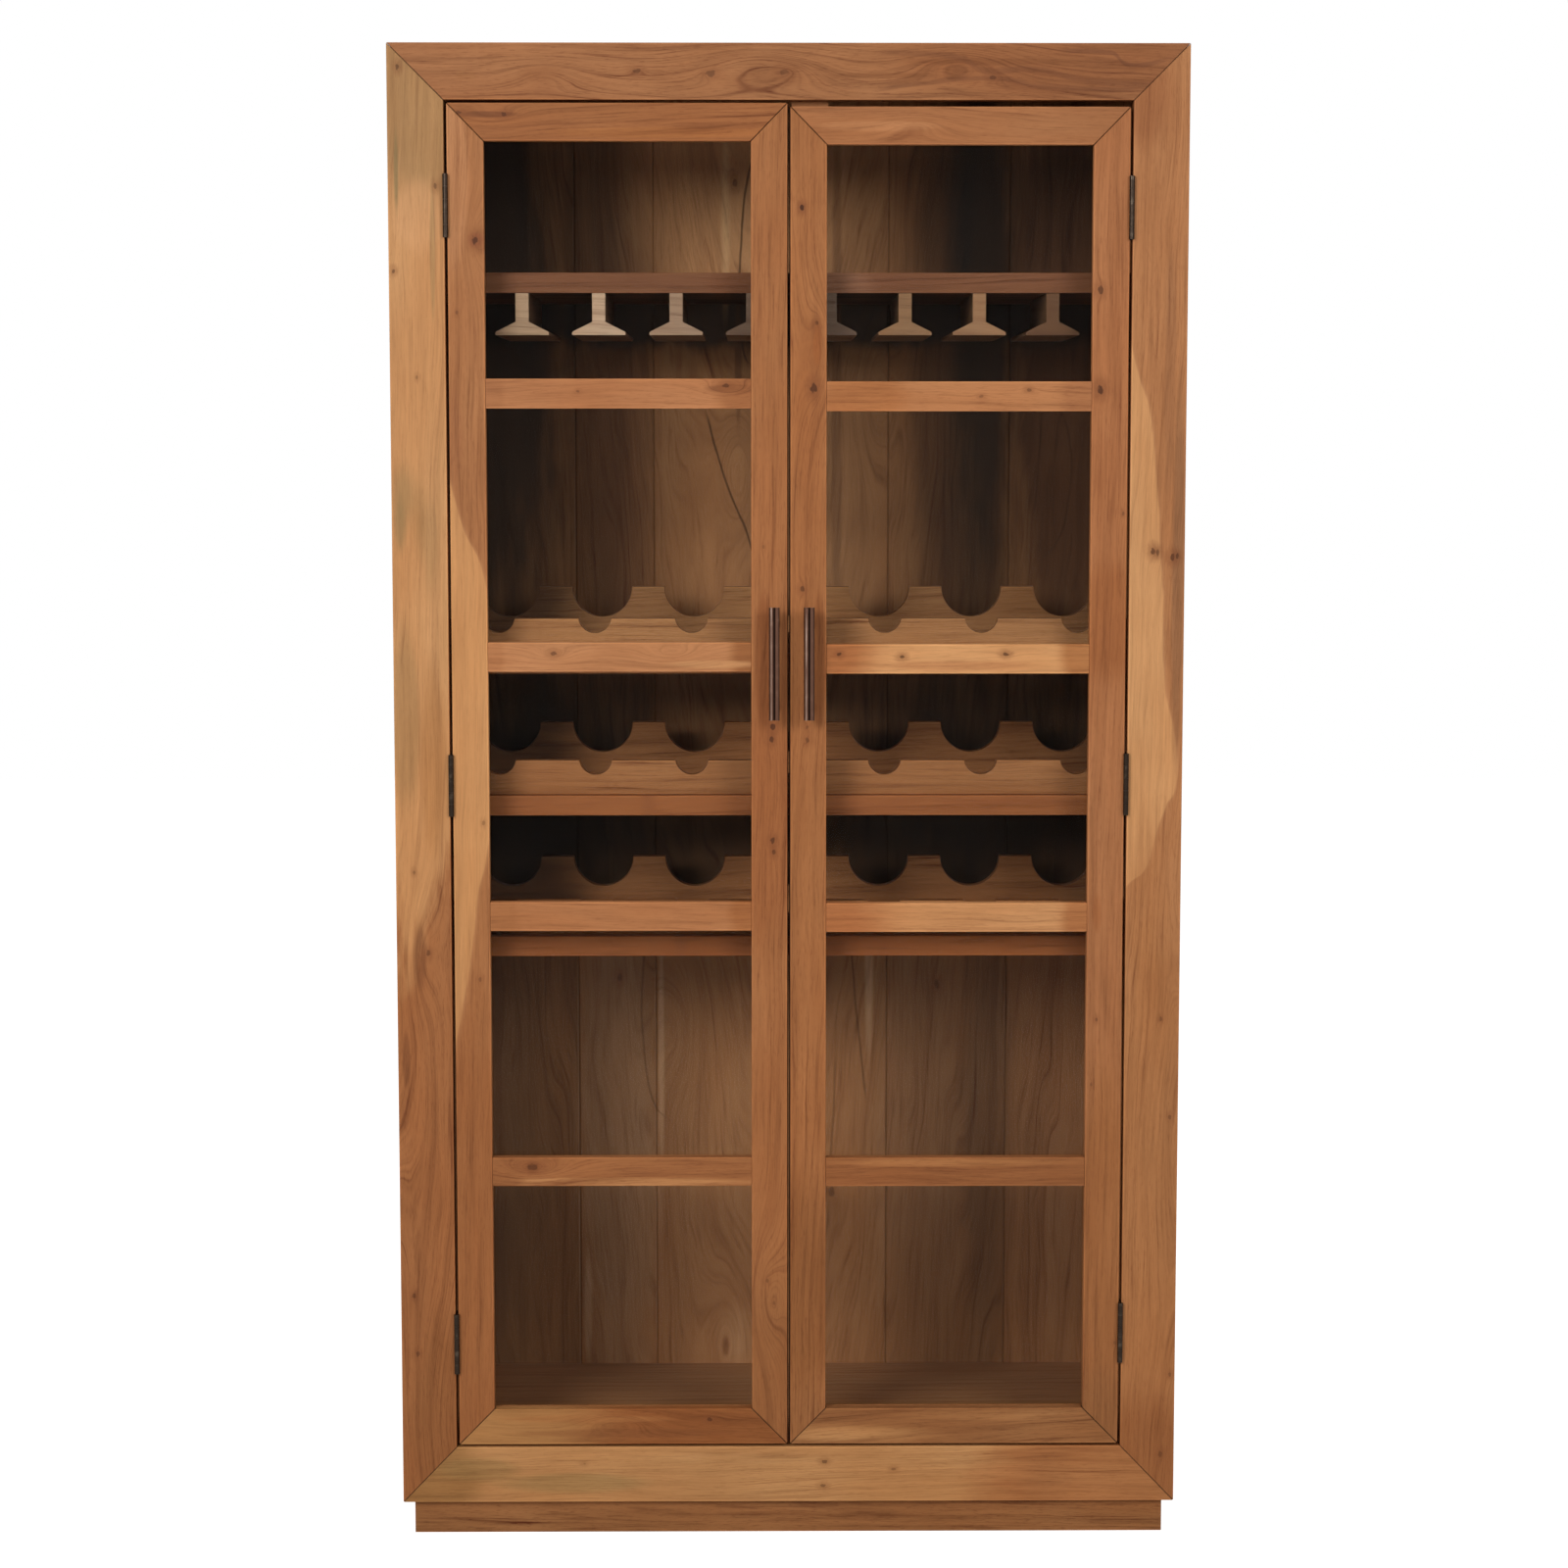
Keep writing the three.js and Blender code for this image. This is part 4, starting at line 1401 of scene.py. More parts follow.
def bevel_edges(maker: bmesh.types.BMesh, width: float) -> None:
    """Rounds the sharp edges of a solid.

    Args:
        maker: The solid.
        width: The rounding's width in millimetres.
    """
    limit = math.radians(SHARP_ANGLE)
    edges = [edge for edge in maker.edges if len(edge.link_faces) == 2 and edge.calc_face_angle(0.0) > limit]
    bmesh.ops.bevel(maker, geom=edges, offset=width, segments=2, profile=0.6, affect="EDGES",
                    clamp_overlap=True)


def join(target: bmesh.types.BMesh, other: bmesh.types.BMesh) -> None:
    """Adds one bmesh to another and frees it.

    Args:
        target: The bmesh that grows.
        other: The one that is added.
    """
    mesh = bpy.data.meshes.new("joined")
    other.to_mesh(mesh)
    other.free()
    target.from_mesh(mesh)
    bpy.data.meshes.remove(mesh)


@dataclass(frozen=True)
class MitredFrame:
    """A frame of four mitred boards: the left and right stile, and the top and bottom rail."""

    stiles: tuple[str, str]
    rails: tuple[str, str]

    def seams(self, name: str) -> tuple[Seam, ...]:
        """The mitre lines at the two ends of a board, or nothing where it isn't in the frame.

        Args:
            name: The board's node.

        Returns:
            Its seams.
        """
        left, right = (box_mm(stile) for stile in self.stiles)
        top, bottom = (box_mm(rail) for rail in self.rails)
        sides = ((left[0].x, left[1].x - left[0].x), (right[1].x, right[0].x - right[1].x))
        ends = ((top[1].z, top[0].z - top[1].z), (bottom[0].z, bottom[1].z - bottom[0].z))
        if name in self.stiles:
            x, reach = sides[self.stiles.index(name)]
            return tuple(Seam(z, x, rise, reach) for z, rise in ends)
        if name in self.rails:
            z, rise = ends[self.rails.index(name)]
            return tuple(Seam(x, z, reach, rise) for x, reach in sides)
        return ()


@dataclass
class Dresser:
    """Gives every CAD board its timber and softened edges."""

    nodes: dict[str, bpy.types.Object]
    edge: float = 0.9
    fine_edge: float = 0.6
    frames: list[MitredFrame] = field(default_factory=list)

    def __post_init__(self) -> None:
        """Lists the mitred frames of the face and of both doors."""
        self.frames.append(MitredFrame(("face_stile_left", "face_stile_right"),
                                       ("face_rail_top", "face_rail_bottom")))
        for side in Side:
            stiles = (f"{side.door}_hinge_stile", f"{side.door}_meeting_stile")
            ordered = stiles if side is Side.LEFT else stiles[::-1]
            self.frames.append(MitredFrame(ordered, (f"{side.door}_top_rail", f"{side.door}_bottom_rail")))

    @staticmethod
    def soften(piece: bpy.types.Object, width: float) -> None:
        """Rounds a board's edges a little, with modifiers that leave its mesh as it is.

        Args:
            piece: The board.
            width: The rounding's width in millimetres.
        """
        weld = piece.modifiers.new("weld", "WELD")
        weld.merge_threshold = 0.001 * MM
        bevel = piece.modifiers.new("soft_edges", "BEVEL")
        bevel.width = width * MM
        bevel.segments = 2
        bevel.limit_method = "ANGLE"
        bevel.angle_limit = math.radians(SHARP_ANGLE)

    def board(self, name: str, timber: Timber) -> None:
        """Dresses one CAD board.

        Args:
            name: The node.
            timber: Its look.
        """
        seams = tuple(seam for frame in self.frames for seam in frame.seams(name))
        fitted = replace(with_box(timber, name), seams=seams)
        self.paint(name, WoodFinish(f"wood_{name}", fitted).build())
        self.soften(self.nodes[name], self.fine_edge if name.startswith("glass_rail") else self.edge)

    def paint(self, name: str, material: bpy.types.Material) -> None:
        """Puts a material in each of a CAD node's slots.

        Args:
            name: The node.
            material: Its material.
        """
        piece = self.nodes[name]
        if not piece.material_slots:
            piece.data.materials.append(material)
        for slot in piece.material_slots:
            slot.material = material
        LOG.info("%s painted", name)


@dataclass(frozen=True)
class BottleRail:
    """A rail with a row of round scallops, cut finer than its CAD node."""

    node: str
    radius: float
    depth: float
    pitch: float = 117.5
    places: int = 7
    steps: int = 40
    edge: float = 1.0
    smooth: float = 32.0

    def outline(self) -> list[tuple[float, float]]:
        """The rail seen from the front.

        Returns:
            Its points in X and Z, from the lower left corner.
        """
        low, high = box_mm(self.node)
        centre = high.z - self.depth + self.radius
        drop = self.radius - self.depth
        half = math.atan2(math.sqrt(self.radius ** 2 - drop ** 2), drop)
        points = [(low.x, low.z), (high.x, low.z), (high.x, high.z)]
        for place in reversed(range(self.places)):
            middle = (place - (self.places - 1) / 2) * self.pitch
            for step in range(self.steps + 1):
                turn = half * (1 - 2 * step / self.steps)
                points.append((middle + self.radius * math.sin(turn), centre - self.radius * math.cos(turn)))
        points.append((low.x, high.z))
        return points

    def build(self, material: bpy.types.Material) -> None:
        """Makes the rail and puts it in its node's place.

        Args:
            material: The wood.
        """
        low, high = box_mm(self.node)
        maker = prism(self.outline(), low.y, high.y, Axis.Y)
        bevel_edges(maker, self.edge)
        piece = mesh_piece(f"{self.node}_shaped", maker, material, self.smooth)
        fit(piece, "cabinet", self.node)


@dataclass(frozen=True)
class PullHandle:
    """A bronze pull: a bar of two round ridges on two posts with collars."""

    side: Side
    ridges: int = 2
    steps: int = 20
    swell: float = 3.1
    thickness: float = 8.0
    chamfer: float = 1.0
    post_radius: float = 4.5
    post_waist: float = 0.7
    post_flare: float = 0.9
    post_overlap: float = 0.4
    flare_height: float = 1.5
    collar_radius: float = 6.0
    collar_height: float = 1.6
    collar_edge: float = 0.5
    collar_slope: float = 0.3
    facets: int = 32
    end_rounding: float = 1.2
    smooth: float = 35.0

    @property
    def node(self) -> str:
        """The CAD node that the pull stands for."""
        return f"{self.side.door}_handle"

    def crests(self) -> tuple[float, tuple[float, ...]]:
        """Where the bar's ridges are.

        Returns:
            Their radius, and the X of each one's middle.
        """
        low, high = box_mm(self.node)
        radius = (high.x - low.x) / (2 * self.ridges)
        return radius, tuple(low.x + (2 * ridge + 1) * radius for ridge in range(self.ridges))

    def bar(self) -> bmesh.types.BMesh:
        """Makes the ridged bar.

        Returns:
            The bar.
        """
        low, high = box_mm(self.node)
        radius, crests = self.crests()
        back = low.y + self.thickness
        points = [(high.x, back - self.chamfer), (high.x - self.chamfer, back),
                  (low.x + self.chamfer, back), (low.x, back - self.chamfer)]
        for ridge, middle in enumerate(crests):
            for step in range(1 if ridge else 0, self.steps + 1):
                turn = math.pi * step / self.steps
                points.append((middle - radius * math.cos(turn), low.y + self.swell * (1 - math.sin(turn))))
        maker = prism(points, low.z, high.z, Axis.Z)
        rim = [edge for edge in maker.edges if abs(edge.verts[0].co.z - edge.verts[1].co.z) < 0.01]
        bmesh.ops.bevel(maker, geom=rim, offset=self.end_rounding, segments=3, profile=0.5, affect="EDGES",
                        clamp_overlap=True)
        return maker

    def post(self, height: float) -> bmesh.types.BMesh:
        """One post, turned from a profile: collar on the door, waist, flare at the bar.

        Args:
            height: The post's height on the cabinet.

        Returns:
            The post.
        """
        low, high = box_mm(self.node)
        foot = high.y
        top = low.y + self.thickness - self.post_overlap
        radius, collar = self.post_radius, self.collar_radius
        shoulder = foot - self.collar_height
        profile = [(collar, foot), (collar, shoulder + self.collar_edge),
                   (collar - self.collar_edge, shoulder), (radius, shoulder - self.collar_slope),
                   (radius - self.post_waist, (foot + top) / 2), (radius, top + self.flare_height),
                   (radius + self.post_flare, top)]
        turns = [2 * math.pi * facet / self.facets for facet in range(self.facets)]
        maker = skin([[(size * math.cos(turn), level, size * math.sin(turn)) for turn in turns]
                      for size, level in profile])
        bmesh.ops.translate(maker, verts=maker.verts, vec=((low.x + high.x) / 2, 0, height))
        return maker

    def build(self) -> None:
        """Makes the pull on its door."""
        low, high = box_mm(self.node)
        radius, crests = self.crests()
        bronze = PullFinish(f"pull_bronze_{self.side.door}", (86, 58, 45), (104, 76, 62), 0.3, 0.85,
                            crests=crests, radius=radius)
        maker = self.bar()
        for height in (low.z + POST_FROM_END, high.z - POST_FROM_END):
            join(maker, self.post(height))
        piece = mesh_piece(f"{self.side.door}_pull", maker, bronze.build(), self.smooth)
        fit(piece, self.side.door, self.node)


@dataclass(frozen=True)
class GlazingBeads:
    """The four mitred beads that hold a door's pane from behind."""

    side: Side
    width: float = 7.4
    thickness: float = 3.4
    gap: float = 0.15
    overlap: float = 0.1
    rounding: float = 0.8

    def build(self) -> None:
        """Makes the beads of one door and their wood."""
        door = self.side.door
        low, high = box_mm(f"{door}_glass")
        bead_wood = Timber(base=(160, 106, 68), seed=140 + 3 * self.side.value, contrast=0.35)
        material = WoodFinish(f"wood_{door}_beads", with_box(bead_wood, f"{door}_glass")).build()
        back = high.y + self.gap
        left, right = low.x - self.overlap, high.x + self.overlap
        bottom, top = low.z - self.overlap, high.z + self.overlap
        outer = [(left, bottom), (right, bottom), (right, top), (left, top)]
        inward = [(1, 1), (-1, 1), (-1, -1), (1, -1)]
        inner = [(x + sign_x * self.width, z + sign_z * self.width)
                 for (x, z), (sign_x, sign_z) in zip(outer, inward)]
        maker = bmesh.new()
        for corner in range(4):
            after = (corner + 1) % 4
            bead = prism([outer[corner], outer[after], inner[after], inner[corner]],
                         back, back + self.thickness, Axis.Y)
            bevel_edges(bead, self.rounding)
            join(maker, bead)
        fit(mesh_piece(f"{door}_glazing_beads", maker, material), door)


class RowTree:
    """A Geometry Nodes tree that sets copies of a template in a row and gives them a material."""

    INPUTS = {"Template": "Object", "Count": "Int", "Start": "Vector", "Step": "Vector", "Turn": "Vector",
              "Finish": "Material"}
    NODES = {"start": "NodeGroupInput", "line": "GeometryNodeMeshLine", "template": "GeometryNodeObjectInfo",
             "instances": "GeometryNodeInstanceOnPoints", "realize": "GeometryNodeRealizeInstances",
             "finish": "GeometryNodeSetMaterial", "end": "NodeGroupOutput"}
    LINKS = (("start", "Count", "line", "Count"), ("start", "Start", "line", "Start Location"),
             ("start", "Step", "line", "Offset"), ("start", "Template", "template", "Object"),
             ("line", "Mesh", "instances", "Points"), ("template", "Geometry", "instances", "Instance"),
             ("start", "Turn", "instances", "Rotation"), ("instances", 0, "realize", 0),
             ("realize", 0, "finish", "Geometry"), ("start", "Finish", "finish", "Material"),
             ("finish", 0, "end", 0))

    def __init__(self) -> None:
        """Builds the tree once."""
        self.tree = bpy.data.node_groups.new("row_of_pieces", "GeometryNodeTree")
        sockets = self.tree.interface
        sockets.new_socket("Geometry", in_out="OUTPUT", socket_type="NodeSocketGeometry")
        self.names = {}
        for name, kind in self.INPUTS.items():
            socket = sockets.new_socket(name, in_out="INPUT", socket_type=f"NodeSocket{kind}")
            self.names[name] = socket.identifier
        nodes = {name: self.tree.nodes.new(kind) for name, kind in self.NODES.items()}
        for source, output, target, entry in self.LINKS:
            self.tree.links.new(nodes[source].outputs[output], nodes[target].inputs[entry])

    def row(self, values: dict[str, object]) -> bpy.types.Mesh:
        """Runs the tree once.

        Args:
            values: A value for each of the tree's inputs, lengths in metres.

        Returns:
            The row as a plain mesh.
        """
        carrier = bpy.data.objects.new("row_carrier", bpy.data.meshes.new("row_carrier"))
        bpy.context.scene.collection.objects.link(carrier)
        modifier = carrier.modifiers.new("row", "NODES")
        modifier.node_group = self.tree
        for name, value in values.items():
            modifier[self.names[name]] = value
        depsgraph = bpy.context.evaluated_depsgraph_get()
        mesh = bpy.data.meshes.new_from_object(carrier.evaluated_get(depsgraph), depsgraph=depsgraph)
        shell = carrier.data
        bpy.data.objects.remove(carrier)
        bpy.data.meshes.remove(shell)
        return mesh


@dataclass(frozen=True)
class Fastener:
    """A round fastener's head, looking along +Z, with an optional cross recess.

    DOME is the head's outline and CROSS the recess's two rings, as shares of the head's size.
    """

    DOME = ((1.0, 0.0), (1.0, 0.35), (0.86, 0.8), (0.6, 1.0))
    CROSS = (0.42, 0.3)

    radius: float
    height: float
    recess: float = 0.0
    facets: int = 20

    def profile(self) -> list[tuple[float, float]]:
        """The head from its foot to its top, with the recess last.

        Returns:
            The radius and height of each ring.
        """
        rings = [(self.radius * size, self.height * level) for size, level in self.DOME]
        if self.recess:
            top, floor = (self.radius * size for size in self.CROSS)
            rings += [(top, self.height), (floor, self.height - self.recess)]
        return rings

    @staticmethod
    def cross_reach(turn: float) -> float:
        """How far the recess reaches in a direction, as a share of its ring's radius."""
        return 0.35 + 1.05 * abs(math.cos(2 * turn)) ** 3

    def template(self, name: str) -> bpy.types.Object:
        """Makes the head as an object of its own, to be copied.

        Args:
            name: The object's name.

        Returns:
            The object.
        """
        turns = [2 * math.pi * facet / self.facets for facet in range(self.facets)]
        rings = []
        for number, (size, level) in enumerate(self.profile()):
            crossed = self.recess and number >= len(self.DOME)
            sizes = [size * (self.cross_reach(turn) if crossed else 1.0) for turn in turns]
            rings.append([(reach * math.cos(turn), reach * math.sin(turn), level)
                          for reach, turn in zip(sizes, turns)])
        return new_object(name, skin(rings))


@dataclass(frozen=True)
class Row:
    """A row of heads: where the first one is, the way to the next one, how many, and their turn."""

    start: tuple[float, float, float]
    step: tuple[float, float, float]
    count: int
    turn: tuple[float, float, float]


@dataclass
class Hardware:
    """Screws and brads, one mesh for each body and kind.

    leaf_rows holds the rows of screws in a hinge leaf: each row's distance from the leaf's front, its
    number of screws and how far up its first screw is, as a share of the leaf's height, like the step.
    """

    steel: bpy.types.Material
    dark: bpy.types.Material
    pin_x: float = 404.2
    leaf_clearance: float = 0.4
    leaf_depth: float = 18.0
    leaf_rows: tuple[tuple[float, int, float], ...] = ((7.5, 2, 0.17), (14.5, 1, 0.5))
    leaf_step: float = 0.66
    leaf_twist: float = 0.3
    pull_twist: float = 0.4
    leaf_screw: Fastener = Fastener(2.7, 0.24, 0.2)
    pull_screw: Fastener = Fastener(4.2, 1.8, 1.0)
    brad: Fastener = Fastener(1.6, 0.1)
    brad_inset: float = 9.0
    brad_from_end: float = 30.0
    brad_from_side: float = 60.0
    brads_up: int = 13
    brads_across: int = 7
    kept: dict[tuple[str, str], list[bpy.types.Mesh]] = field(default_factory=dict)

    def __post_init__(self) -> None:
        """Builds the row tree and the heads that it copies."""
        self.rows = RowTree()
        self.heads = {"hinge_screws": (self.leaf_screw.template("leaf_screw_head"), self.steel),
                      "pull_screws": (self.pull_screw.template("pull_screw_head"), self.steel),
                      "back_brads": (self.brad.template("brad_head"), self.dark)}

    def add(self, body: str, kind: str, row: Row) -> None:
        """Adds a row of heads.

        Args:
            body: The body that it rides on.
            kind: The word for this sort of fastener.
            row: The row.
        """
        head, metal = self.heads[kind]
        values = {"Template": head, "Count": row.count, "Start": tuple(Vector(row.start) * MM),
                  "Step": tuple(Vector(row.step) * MM), "Turn": row.turn, "Finish": metal}
        self.kept.setdefault((body, kind), []).append(self.rows.row(values))

    def leaf_screws(self, side: Side, number: int) -> None:
        """The three countersunk screws of each leaf of one hinge.

        Args:
            side: The door's side.
            number: The hinge, counted from the top.
        """
        sign = side.value
        for leaf, body, face in (("frame_leaf", "cabinet", -sign), ("door_leaf", side.door, sign)):
            low, high = box_mm(f"{side.door}_hinge_{leaf}_{number}")
            plane = sign * self.pin_x - face * self.leaf_clearance
            height = high.z - low.z
            step = (0, 0, height * self.leaf_step)
            for row, (depth, count, lift) in enumerate(self.leaf_rows):
                start = (plane, high.y - self.leaf_depth + depth, low.z + height * lift)
                turn = (0.0, math.radians(90 * face), self.leaf_twist * (row + number))
                self.add(body, "hinge_screws", Row(start, step, count, turn))

    def pull_screws(self, side: Side) -> None:
        """The two screws that hold a pull, on the inside of its stile.

        Args:
            side: The door's side.
        """
        low, high = box_mm(f"{side.door}_handle")
        back = box_mm(f"{side.door}_meeting_stile")[1].y
        start = ((low.x + high.x) / 2, back, low.z + POST_FROM_END)
        step = (0, 0, high.z - low.z - 2 * POST_FROM_END)
        self.add(side.door, "pull_screws", Row(start, step, 2, (BACKWARDS, self.pull_twist, 0.0)))

    def back_brads(self) -> None:
        """The brads round the back panel's edge."""
        low, high = box_mm("back_panel")
        turn = (BACKWARDS, 0.0, 0.0)
        first, side = low.z + self.brad_from_end, low.x + self.brad_from_side
        step = (0, 0, (high.z - low.z - 2 * self.brad_from_end) / (self.brads_up - 1))
        for x in (low.x + self.brad_inset, high.x - self.brad_inset):
            self.add("cabinet", "back_brads", Row((x, high.y, first), step, self.brads_up, turn))
        step = ((high.x - low.x - 2 * self.brad_from_side) / (self.brads_across - 1), 0, 0)
        for z in (low.z + self.brad_inset, high.z - self.brad_inset):
            self.add("cabinet", "back_brads", Row((side, high.y, z), step, self.brads_across, turn))

    def finish(self) -> None:
        """Joins the rows of each body and kind into one piece and removes the templates.

        A row has its metal in its second slot. The piece takes the first slot, which is empty, so the
        heads show in the default grey.
        """
        for (body, kind), meshes in self.kept.items():
            maker = bmesh.new()
            for mesh in meshes:
                maker.from_mesh(mesh)
            piece = new_object(f"{body}_{kind}", maker, 1.0)
            piece.data.materials.append(meshes[0].materials[0])
            fit(piece, body)
        for head, _ in self.heads.values():
            bpy.data.objects.remove(head)


@dataclass(frozen=True)
class MagnetCatch:
    """A magnet catch on the floor behind each door, and the strike plate on the door."""

    side: Side
    length: float = 46.0
    depth: float = 14.0
    height: float = 13.0
    from_centre: float = 60.0
    air: float = 1.0
    lip: float = 2.4
    chamfer: float = 3.0
    rounding: float = 0.8
    glue: float = 0.05
    plate_length: float = 38.0
    plate_height: float = 11.0
    plate_corner: float = 2.0
    plate_thickness: float = 0.3

    def build(self, housing: bpy.types.Material, steel: bpy.types.Material) -> None:
        """Makes the catch and its plate.

        Args:
            housing: The brown housing's finish.
            steel: The plate's metal.
        """
        floor = box_mm("floor_panel")[1].z
        rail_low, rail_high = box_mm(f"{self.side.door}_bottom_rail")
        middle = self.side.value * self.from_centre
        front = rail_high.y + self.air
        back = front + self.depth
        low, high = floor + self.glue, floor + self.height
        outline = [(front, low + self.lip), (front + self.lip / 2, low), (back, low),
                   (back, high - self.chamfer), (back - self.chamfer, high), (front, high)]
        body = prism(outline, middle - self.length / 2, middle + self.length / 2, Axis.X)
        bevel_edges(body, self.rounding)
        fit(mesh_piece(f"{self.side.name.lower()}_magnet_catch", body, housing), "cabinet")
        half, corner = self.plate_length / 2, self.plate_corner
        low = rail_low.z + self.air
        high = low + self.plate_height
        upright = [(half - corner, low), (half, low + corner), (half, high - corner), (half - corner, high)]
        outline = [(middle + x, z) for x, z in upright] + [(middle - x, z) for x, z in reversed(upright)]
        face = rail_high.y + self.glue
        plate = prism(outline, face, face + self.plate_thickness, Axis.Y)
        fit(mesh_piece(f"{self.side.door}_strike_plate", plate, steel), self.side.door)


@dataclass(frozen=True)
class MeetingSeal:
    """A thin, rounded strip of dark felt on a meeting stile's edge, which paints shade in the gap between the
    doors.
    """

    side: Side
    thickness: float = 1.25
    depth: float = 9.0
    from_back: float = 2.0
    from_end: float = 1.0
    glue: float = 0.05
    steps: int = 10
    fullness: float = 0.6
    smooth: float = 40.0

    def build(self, felt: bpy.types.Material) -> None:
        """Makes the strip of one door.

        Args:
            felt: Its finish.
        """
        low, high = box_mm(f"{self.side.door}_meeting_stile")
        sign = self.side.value
        edge = (high.x if self.side is Side.LEFT else low.x) - sign * self.glue
        half = self.depth / 2
        middle = high.y - self.from_back - half
        outline = []
        for step in range(self.steps + 1):
            turn = math.pi * step / self.steps
            swell = self.thickness * math.sin(turn) ** self.fullness
            outline.append((edge - sign * swell, middle - half * math.cos(turn)))
        maker = prism(outline, low.z + self.from_end, high.z - self.from_end, Axis.Z)
        piece = mesh_piece(f"{self.side.door}_meeting_felt", maker, felt, self.smooth)
        fit(piece, self.side.door)


@dataclass(frozen=True)
class Lamp:
    """A square soft lamp: its place, what it points at and its side in metres, and its watts."""

    name: str
    place: tuple[float, float, float]
    target: tuple[float, float, float]
    size: float
    power: float

    def build(self) -> None:
        """Adds the lamp."""
        data = bpy.data.lights.new(self.name, "AREA")
        data.size = self.size
        data.energy = self.power
        lamp = bpy.data.objects.new(self.name, data)
        lamp.location = self.place
        lamp.rotation_euler = (Vector(self.target) - Vector(self.place)).to_track_quat("-Z", "Y").to_euler()
        lamp.visible_camera = False
        bpy.context.scene.collection.objects.link(lamp)


@dataclass(frozen=True)
class Studio:
    """The camera at the photograph's place, a pale floor, a white surround and soft lamps."""

    place: tuple[float, float, float] = (-39.0, -4136.0, 1333.0)
    pitch: float = -5.876
    yaw: float = 0.482
    lens: float = 76.05
    sensor: float = 36.0
    clip_end: float = 100.0
    floor_half: float = 9000.0
    floor_drop: float = 0.2
    floor_tone: float = 0.75
    floor_glow: float = 0.88
    fill: tuple[float, float, float, float] = (1.0, 0.99, 0.975, 1.0)
    fill_strength: float = 0.22
    lamps: tuple[Lamp, ...] = (Lamp("left", (-2.0, -4.0, 2.4), (0.0, 0.0, 0.95), 1.5, 97.0),
                               Lamp("right", (2.0, -4.0, 2.4), (0.0, 0.0, 0.95), 1.5, 57.0),
                               Lamp("overhead", (0.0, 0.6, 4.4), (0.0, 0.0, 0.9), 2.5, 29.0))

    def camera(self) -> None:
        """Sets the camera."""
        data = bpy.data.cameras.new("camera")
        data.lens = self.lens
        data.sensor_width = self.sensor
        data.clip_end = self.clip_end
        camera = bpy.data.objects.new("camera", data)
        camera.location = Vector(self.place) * MM
        camera.rotation_euler = (math.radians(90 + self.pitch), 0.0, math.radians(-self.yaw))
        bpy.context.scene.collection.objects.link(camera)
        bpy.context.scene.camera = camera

    @staticmethod
    def seen(graph: Graph) -> Signal:
        """Tells what is seen from what only lights the cabinet.

        Args:
            graph: The graph that asks.

        Returns:
            One on rays from the camera, in reflections and through glass, and zero on other bounces.
        """
        path = graph.node("ShaderNodeLightPath", {}, {})
        camera, glossy, through = (Signal(graph, path.outputs[f"Is {kind} Ray"])
                                   for kind in ("Camera", "Glossy", "Transmission"))
        return (camera + glossy + through).clamp()

    def floor(self) -> None:
        """Makes the pale floor."""
        graph = Graph(bpy.data.materials.new("pale_floor"))
        plain = graph.output("ShaderNodeBsdfDiffuse", {0: (self.floor_tone,) * 3 + (1.0,)})
        glow = graph.output("ShaderNodeEmission", {0: WHITE, 1: self.floor_glow})
        none = graph.output("ShaderNodeEmission", {0: BLACK, 1: 0.0})
        lit = graph.output("ShaderNodeMixShader", {0: self.seen(graph), 1: none, 2: glow})
        maker = bmesh.new()
        half = self.floor_half
        maker.faces.new([maker.verts.new((x, y, -self.floor_drop))
                         for x, y in ((-half, -half), (half, -half), (half, half), (-half, half))])
        ground = new_object("floor", maker)
        ground.data.materials.append(graph.finish(graph.output("ShaderNodeAddShader", {0: plain, 1: lit})))

    def surround(self) -> None:
        """White to the eye, and a soft grey fill to everything else."""
        graph = Graph(bpy.data.worlds.new("surround"))
        fill = graph.output("ShaderNodeBackground", {0: self.fill, 1: self.fill_strength})
        white = graph.output("ShaderNodeBackground", {0: WHITE, 1: 1.0})
        mixed = graph.output("ShaderNodeMixShader", {0: self.seen(graph), 1: fill, 2: white})
        bpy.context.scene.world = graph.finish(mixed)

    def build(self) -> None:
        """Sets up the whole studio."""
        bpy.context.scene.view_settings.view_transform = "Standard"
        self.camera()
        self.floor()
        self.surround()
        for lamp in self.lamps:
            lamp.build()


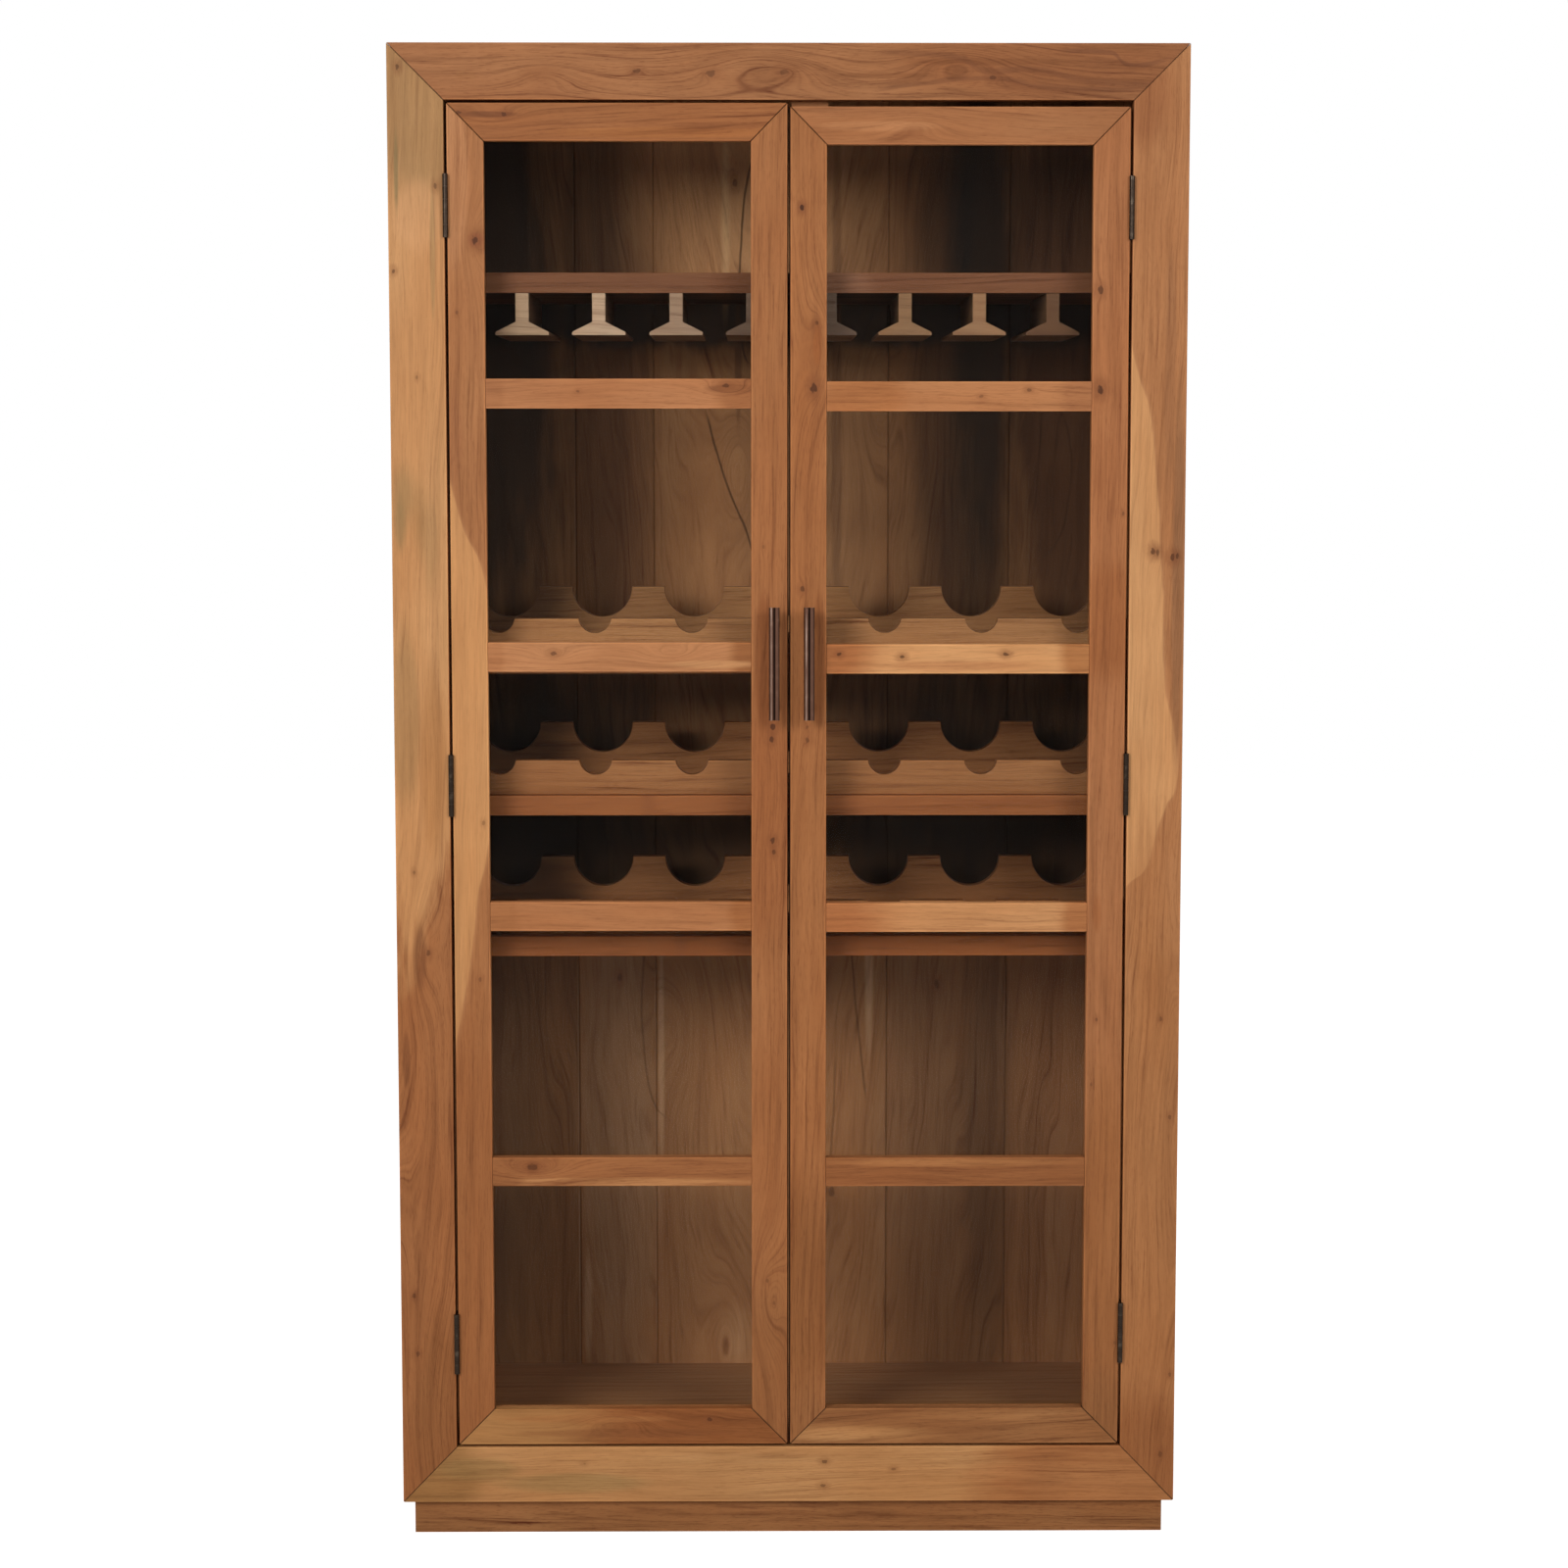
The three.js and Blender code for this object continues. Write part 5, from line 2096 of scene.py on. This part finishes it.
@dataclass
class Cabinet:
    """The whole cabinet's looks, in the order in which they are made."""

    frame: dict
    neck_scallop: tuple[float, float] = (20.0, 17.3)
    body_scallop: tuple[float, float] = (38.0, 38.0)

    def boards(self) -> None:
        """Dresses every wooden node, and shapes the scalloped rails anew."""
        dresser = Dresser(self.frame["nodes"])
        timbers = {**Palette.face(), **Palette.left_door(), **Palette.right_door(), **Palette.panels(),
                   **Palette.bottle_rows(), **Palette.glass_rails(), **Palette.case()}
        scallops = {"neck": self.neck_scallop, "bottle": self.body_scallop}
        for name, timber in timbers.items():
            scallop = scallops.get(name.partition("_rail_")[0])
            if scallop:
                BottleRail(name, *scallop).build(WoodFinish(f"wood_{name}", with_box(timber, name)).build())
            else:
                dresser.board(name, timber)
        glass = GlassFinish("pane_glass").build()
        hinge = MetalFinish("hinge_steel", (42, 33, 26), (76, 66, 56), 0.3, 0.92).build()
        for side in Side:
            dresser.paint(f"{side.door}_glass", glass)
            for number in HINGE_NUMBERS:
                dresser.paint(f"{side.door}_hinge_frame_leaf_{number}", hinge)
                dresser.paint(f"{side.door}_hinge_door_leaf_{number}", hinge)

    def fittings(self) -> None:
        """Makes the pulls, beads, fasteners, catches, and the felt strips that paint shade in the door gap.
        """
        screw = MetalFinish("screw_steel", (150, 146, 138), (108, 102, 94), 0.35).build()
        brad = MetalFinish("brad_steel", (86, 82, 78), (60, 54, 50), 0.5).build()
        housing = MetalFinish("catch_housing", (74, 48, 32), (92, 62, 42), 0.45, 0.0).build()
        # Dark felt for the strips that paint shade in the gap between the doors.
        felt = FeltFinish("seal_felt", (44, 20, 13), (68, 36, 25)).build()
        hardware = Hardware(screw, brad)
        for side in Side:
            PullHandle(side).build()
            GlazingBeads(side).build()
            for number in HINGE_NUMBERS:
                hardware.leaf_screws(side, number)
            hardware.pull_screws(side)
            MagnetCatch(side).build(housing, screw)
            MeetingSeal(side).build(felt)
        hardware.back_brads()
        hardware.finish()


def main() -> None:
    """Builds the cabinet's looks in its frame, and the studio round it."""
    logging.basicConfig(level=logging.INFO, format="%(message)s")
    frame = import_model()
    Studio().build()
    cabinet = Cabinet(frame)
    cabinet.boards()
    cabinet.fittings()


if __name__ == "__main__":
    main()
